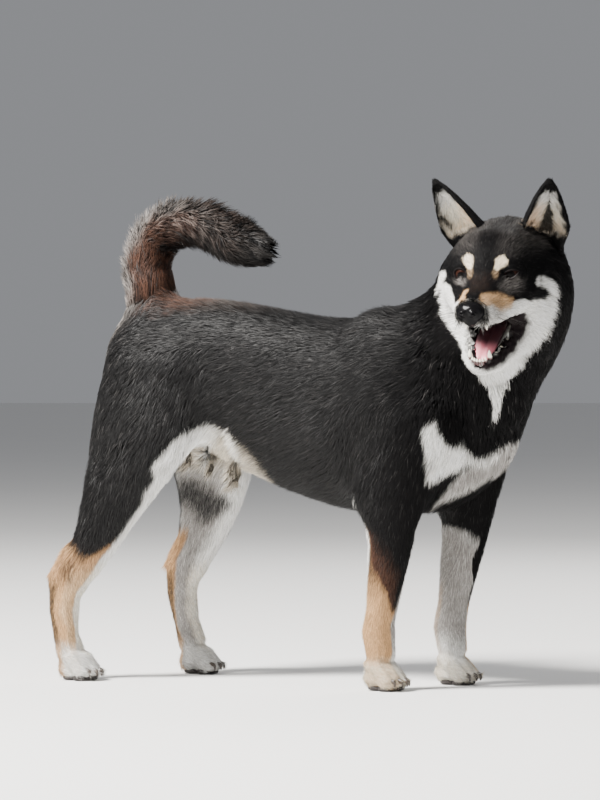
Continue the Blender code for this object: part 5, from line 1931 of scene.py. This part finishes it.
def coat_piece(name, rings, painted_shade_levels, colour, shine, normals, uv, offsets):
    """Closed, pointed tufts. rings holds each of their points in turn: three to a section, then the tip."""
    count, each = len(uv), len(rings)
    points = np.stack(rings, axis=1).reshape(-1, 3)
    points[:, 2] = np.maximum(points[:, 2], 0.0002)
    last = each - 4
    faces = [(0, 2, 1), *ring_faces(each // 3, 3)]
    faces += [(last + k, last + (k + 1) % 3, each - 1) for k in range(3)]
    faces = np.array(faces)[None] + (np.arange(count) * each)[:, None, None]
    mesh = mesh_from(name, points, faces.reshape(-1, 3))
    # each point's colour is darkened or lightened by its painted shade level
    tone = np.repeat(colour, each, axis=0) * np.tile(painted_shade_levels, count)[:, None]
    set_attribute(mesh, "coat", np.clip(tone, 0, 1))
    set_attribute(mesh, "shine", np.repeat(shine, each))
    soften(mesh, np.repeat(normals, each, axis=0))
    corner = values_of(mesh.loops, "vertex_index", 1, np.int32)[:, 0]
    uv = np.repeat(uv, each, axis=0) + np.tile(offsets, (count, 1))
    layer = mesh.uv_layers.new(name="OFBake")
    layer.data.foreach_set("uv", np.clip(uv[corner], 0, 1).astype(np.float32).ravel())
    declared(new_object(name, mesh), COAT_MATERIAL, "black_coat")


def tuft_mesh(name, ground, tufts, colour, shine):
    """Tufts on the ground, with a section at the root and, if they bend, one half way along."""
    normal, lie, width = tufts["normal"], tufts["lie"], tufts["width"]
    turn = tufts["random"].uniform(-0.6, 0.6, len(width))[:, None]
    side = np.cross(normal, lie) * np.cos(turn) + normal * np.sin(turn)
    through = np.cross(lie, side)
    rings = corners_of(tufts["root"] - normal * 0.0006, side, through, width * 0.8, 0.55)
    shares = [0.0] * 3
    if tufts["bent"]:
        rings += corners_of(laid(ground, tufts, 0.45, 0.80), side, through, width, 0.55)
        shares += [0.45] * 3
    rings.append(laid(ground, tufts, 1.0, 1.0))
    offsets = [(PATCH / 4 * (k % 3), PATCH * share) for k, share in enumerate(shares)]
    offsets.append((PATCH / 4, PATCH))
    painted_shade_levels = ROOT_PAINTED_SHADE + (TIP_PAINTED_SHEEN - ROOT_PAINTED_SHADE) * np.array([*shares, 1.0]) ** 0.7
    coat_piece(name, rings, painted_shade_levels, colour, shine, normal, tufts["uv"], offsets)


def vary(colour, random, points):
    """Hairs differ in lightness, and a few black ones are grey. These are more common where the coat
    shines, so they are partly real grey hairs and partly painted sheen.
    """
    count = len(colour)
    level = np.exp(random.normal(0, 0.12, count)) * (1 + 0.06 * clump(points, 0.007)[:, 0])
    dark = colour.sum(axis=1) < 0.12
    # more grey hairs where the coat shines: painted sheen
    grey = dark & (random.random(count) < 0.06 * (0.4 + 0.6 * shine_of(points)))
    colour = colour.copy()
    colour[grey] = np.array(GREY_HAIR_AND_SHEEN)
    return np.clip(colour * level[:, None], 0.002, 0.95)


def shine_of(points):
    """How much the hair shines: most on the back, least on the neck and the chest."""
    spine = spine_frame(points)
    return np.clip(1 - 0.92 * ramp(spine[:, 0], -0.02, 0.06), 0, 1)


BENT_FROM = 0.0150  # tufts longer than this bend
NECK_PARTS = (0.310, 0.370)  # heights at which the long coat is divided
LEG_TOP = 0.215  # and where the legs' coat ends
NOSE_ROOM = (0.016, 0.016, 0.0135)  # half the size of what stays free of hair round the nose
TAIL_ROOM = (TAIL_ROOT * 1.08, 0.391)  # its radius round the tail's root, and the height it starts at


def coat_density(points, fields):
    """Tufts per square metre, with none where the skin is bare or hidden, or near the nose and the eyes."""
    part = fields["part"]
    density = fields["density"] * fall(fields["bare"], 0.25, 0.6) * ramp(points[:, 2], 0.0008, 0.0030)
    nose_gap = np.linalg.norm((points - np.array(box_middle("nose"))) / np.array(NOSE_ROOM), axis=1)
    density = density * ramp(nose_gap, 0.80, 0.92)
    for centre, _ in EYE_AXES.values():
        reach = np.linalg.norm(points - centre, axis=1)
        density = density * ramp(reach, EYE_RADIUS - 0.0005, EYE_RADIUS + 0.0004)
    to_tail = np.linalg.norm(points[:, None] - TAIL[None, :, :3], axis=2).min(axis=1)
    hidden = (part == TAIL_PART) | ((to_tail < TAIL_ROOM[0]) & (points[:, 2] > TAIL_ROOM[1]))
    hidden |= (part == BODY) & (face_zone(head_frame(points)) < 0.95)
    hidden |= (part == FEET_PART) & (points[:, 2] > FOOT_TOP - 0.004)
    return np.where(hidden, 0, density)


def coat_sets(ground):
    """Name, triangles and whether its tufts bend, of each piece of the coat."""
    part = ground.fields["part"][ground.corners[:, 0]]
    bent = ground.mean(ground.fields["length"]) > BENT_FROM
    middle = ground.mean(ground.points)
    along, height = spine_frame(middle)[:, 0], middle[:, 2]
    body, face = (part == BODY) | (part == FEET_PART), part == FACE
    short, long = body & ~bent, body & bent
    trunk = short & (height >= LEG_TOP)
    legs = short & (height < LEG_TOP) & (height > FOOT_TOP)
    return (
        ("coat_chest", trunk & (along > 0.0), False),
        ("coat_ribs", trunk & (along > -0.10) & (along <= 0.0), False),
        ("coat_loin", trunk & (along > -0.205) & (along <= -0.10), False),
        ("coat_rump", trunk & (along <= -0.205), False),
        ("coat_nape", long & (height >= NECK_PARTS[1]), True),
        ("coat_neck", long & (height >= NECK_PARTS[0]) & (height < NECK_PARTS[1]), True),
        ("coat_breast", long & (height < NECK_PARTS[0]), True),
        ("coat_forelegs", legs & (along > -0.09), False),
        ("coat_hindlegs", legs & (along <= -0.09), False),
        ("coat_feet", short & (height <= FOOT_TOP), False),
        ("coat_head", face & ~bent, False),
        ("coat_cheeks", face & bent, True),
        ("coat_ears", np.isin(part, list(EAR_PARTS.values())), False),
    )


def grow_coat(skin, fields):
    ground = Ground(skin, fields)
    chance = ground.mean(coat_density(ground.points, fields)) * ground.area * TUFTS
    for seed, (name, chosen, curved) in enumerate(coat_sets(ground)):
        tufts = grow(ground, np.where(chosen, chance, 0), 100 + seed, curved)
        root, normal, random, triangle = (tufts[key] for key in ("root", "normal", "random", "triangle"))
        seen = root + tufts["lie"] * (tufts["length"] * 0.55)[:, None] + normal * tufts["rise"][:, None]
        weights = {
            key: ground.blend(value, triangle, tufts["weights"]) for key, value in fields["weights"].items()
        }
        colour = coat_colour(seen, weights, random)
        if name == "coat_ears":
            colour = ear_colour(root, normal, fields["part"][ground.corners[triangle, 0]], colour, random)
        tuft_mesh(name, ground, tufts, vary(colour, random, root), shine_of(root))
    return ground


TAIL_FOOT = 0.012  # how deep in the rump the first locks of the tail are rooted
TAIL_LOCKS = 11000
LOCK_STEPS = (0.0, 0.30, 0.65, 1.0)  # where along a lock its sections and its tip lie
GOLDEN_TURN = 2.39996


def tail_rows(distance, around, core, out, wisp, random):
    """Places of the locks at each of their steps, risen from the core out to the tail's full radius."""
    count = len(distance)
    outer = ramp((out * along_tail(distance)[3]).sum(axis=1), -0.2, 0.9)
    fluffy = outer * (1 - 0.60 * np.clip(distance / TAIL_LENGTH, 0, 1))
    travel = random.uniform(0.020, 0.034, count) * (1 - 0.80 * fluffy)
    level = (0.55 + 0.45 * random.random(count) ** 0.7) * (1 + 0.16 * fluffy * random.random(count))
    level *= (1 + 0.08 * np.clip(wisp[:, 1], -1.5, 1.5)) * (0.50 + 0.50 * ramp(distance, -TAIL_FOOT, 0.018))
    pinched = np.clip(0.5 + 0.35 * wisp[:, 2], 0, 1)
    last = TAIL_LENGTH + TAIL_END * (random.uniform(0.0, 0.55, count) + 0.65 * pinched)
    travel = np.minimum(travel, np.maximum(last - distance, 0.006))
    swing = random.normal(0, 0.14, count) + 0.26 * wisp[:, 0]
    rows = []
    for share in LOCK_STEPS:
        here = distance + travel * share
        centre, _, side, through, _ = along_tail(here)
        full = along_tail(np.clip(here, 0, TAIL_LENGTH))[4]
        turn = (around + swing * share)[:, None]
        rise = share ** (0.75 + 0.25 * fluffy) * level
        end = np.clip((here - TAIL_LENGTH + 0.010) / (TAIL_END + 0.010), 0, 1.2)
        radius = (core * (1 - rise) + full * rise) * (1 - (0.30 + 0.50 * pinched) * end**1.2)
        rows.append(centre + (side * np.cos(turn) + through * np.sin(turn)) * radius[:, None])
    return rows


def tail_locks(ground):
    """Locks of the tail, rooted all round and along it and laid towards its tip."""
    random = np.random.default_rng(55)
    count = int(TAIL_LOCKS * TUFTS)
    order = np.arange(count) / count
    distance = TAIL_LENGTH * 0.97 * order - TAIL_FOOT * (1 - order)
    around = (np.arange(count) * GOLDEN_TURN) % (2 * math.pi)
    core = tail_core(distance)
    centre, _, side, through, _ = along_tail(distance)
    out = side * np.cos(around)[:, None] + through * np.sin(around)[:, None]
    root = centre + out * (core * 0.95)[:, None]
    rows = tail_rows(distance, around, core, out, clump(root, 0.012), random)
    width = random.uniform(0.0008, 0.0015, count)
    rings = []
    for place, after, scale in zip(rows, rows[1:], (0.7, 1.0, 0.75)):
        forward = unit(after - place)
        flat = unit(np.cross(out, forward))
        rings += corners_of(place, flat, np.cross(forward, flat), width * scale, 0.5)
    rings.append(rows[-1])
    each = len(rings)
    colour = vary(tail_colour(rows[2], random), random, root)
    # the locks are darker at the root as painted shade among them, and lighter at the tip as painted sheen
    painted_shade_levels = 0.40 + 0.85 * np.repeat(LOCK_STEPS, 3)[:each]
    uv = np.array([ground.uv[ground.tree.find_nearest(p)[2]].mean(axis=0) for p in root.tolist()])
    across, along = np.linspace(0, PATCH, 3), np.linspace(0, PATCH, 4)
    offsets = np.stack([np.tile(across, 4)[:each], np.repeat(along, 3)[:each]], axis=1)
    coat_piece("coat_tail", rings, painted_shade_levels, colour, np.full(count, 0.45), out, uv, offsets)


def head_only(count):
    """The weights of points that all lie on the head."""
    return {**{leg: np.zeros(count) for leg in LEG_AXES}, "head": np.ones(count)}


def lid_fur(lids):
    """Short hair on the lids, outside their bare rims and away from the eyes."""
    mesh = lids.data
    points = coordinates(mesh)
    count = len(points)
    share = np.tile(LID_STEPS, count // len(LID_STEPS))
    fur = ramp(share, 0.10, 0.20)
    set_attribute(mesh, "coat", coat_colour(points, head_only(count)) * 0.8)
    set_attribute(mesh, "bare", fall(share, 0.085, 0.15))
    h = head_frame(points)
    flow = np.stack([np.full(count, -1.0), 0.35 * np.sign(h[:, 1]), 0.15 * np.sign(h[:, 2])], axis=1)
    away = np.zeros_like(points)
    for side, (centre, axes) in EYE_AXES.items():
        mine = np.sign(h[:, 1]) == side
        off = points[mine] - centre
        away[mine] = off - (off @ axes[0])[:, None] * axes[0]
    fields = {
        "lie": unit(flow @ HEAD_AXES.T + 1.1 * unit(away)),
        "depth": np.full(count, 0.0009),
        "length": 0.0020 + 0.0016 * fur,
        "width": np.full(count, 0.00060),
        "spread": np.full(count, 0.35),
    }
    unwrap(lids)
    ground = Ground(lids, fields)
    tufts = grow(ground, ground.mean(fur * 5.0e6) * ground.area * TUFTS, 300, False)
    root, random = tufts["root"], tufts["random"]
    colour = vary(coat_colour(root, head_only(len(root)), random), random, root)
    tuft_mesh("coat_lids", ground, tufts, colour, shine_of(root))


# Floor, light and camera


CAMERA_TURN = math.radians(24)
CAMERA_AWAY = 4.2
CAMERA_HEIGHT = 0.31
SENSOR = 24
PHOTO_HEIGHT = 800
FOCAL = 4200  # in pixels of the photograph, as the next two
MIDDLE = (300, 400)
AIM = (407, 377)  # where the camera's level line towards the withers falls in the picture
FLOOR_REACH = 80
SKY = (0.93, 0.95, 1.0)
SKY_POWER = 0.29
LIGHTS = (  # name, place (across, away, up), size, power and colour
    ("key", (-2.1, -1.4, 2.9), 1.0, 640, (1.0, 0.975, 0.94)),
    ("fill", (2.2, -1.8, 1.1), 2.2, 16, (0.95, 0.97, 1.0)),
    ("rim", (0.8, 2.4, 2.0), 1.4, 40, (1.0, 0.98, 0.96)),
)


def floor_material():
    s = Shader("pale_floor", Roughness=0.85, Specular_IOR_Level=0.2)
    tone = (0.86, 0.855, 0.84)
    s.set("Base Color", s.grain(1.5, tone, tuple(0.97 * v for v in tone), 3.0))
    return s.material


def dog_place(across, away, height):
    """A point given to the right in the picture, away from the camera and up, from the dog's withers."""
    cos, sin = math.cos(CAMERA_TURN), math.sin(CAMERA_TURN)
    return Vector((across * cos - away * sin, across * sin + away * cos, height)) + SHIFT


def looking(obj, place, target):
    """Puts a light or a camera in its place, turned to a target."""
    obj.location = place
    obj.rotation_euler = (target - place).to_track_quat("-Z", "Y").to_euler()


def make_stage():
    corners = np.array(((-1, -1, 0), (1, -1, 0), (1, 1, 0), (-1, 1, 0)), float) * FLOOR_REACH
    floor = new_object("floor", mesh_from("floor", corners, [(0, 1, 2, 3)]))
    floor.data.materials.append(floor_material())
    world = bpy.data.worlds.new("studio")
    bpy.context.scene.world = world
    world.use_nodes = True
    sky = world.node_tree.nodes["Background"].inputs
    sky["Color"].default_value = (*SKY, 1)
    sky["Strength"].default_value = SKY_POWER
    for name, place, size, power, tone in LIGHTS:
        light = bpy.data.lights.new(name, "AREA")
        light.size, light.energy, light.color = size, power, tone
        looking(new_object(name, light), dog_place(*place), dog_place(0.0, 0.0, 0.25))


def make_camera():
    camera = bpy.data.cameras.new("camera")
    camera.sensor_fit = "VERTICAL"
    camera.sensor_height = SENSOR
    camera.lens = FOCAL / PHOTO_HEIGHT * SENSOR
    camera.clip_start, camera.clip_end = 0.1, 50
    across, up = (MIDDLE[0] - AIM[0]) / FOCAL, (AIM[1] - MIDDLE[1]) / FOCAL
    target = dog_place(across * CAMERA_AWAY, 0, CAMERA_HEIGHT + up * CAMERA_AWAY)
    obj = new_object("camera", camera)
    looking(obj, dog_place(0, -CAMERA_AWAY, CAMERA_HEIGHT), target)
    bpy.context.scene.camera = obj


make_stage()
make_camera()
SKIN, SKIN_FIELDS = make_skin()
HEAD_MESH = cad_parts["head"].data
make_eyes()
LIDS = make_lids(BVHTree.FromPolygons(coordinates(HEAD_MESH).tolist(), triangles(HEAD_MESH)[0].tolist()))
make_nose()
make_tongue()
make_teeth()
make_claws()
make_pads()
make_whiskers()
GROUND = grow_coat(SKIN, SKIN_FIELDS)
tail_locks(GROUND)
lid_fur(LIDS)
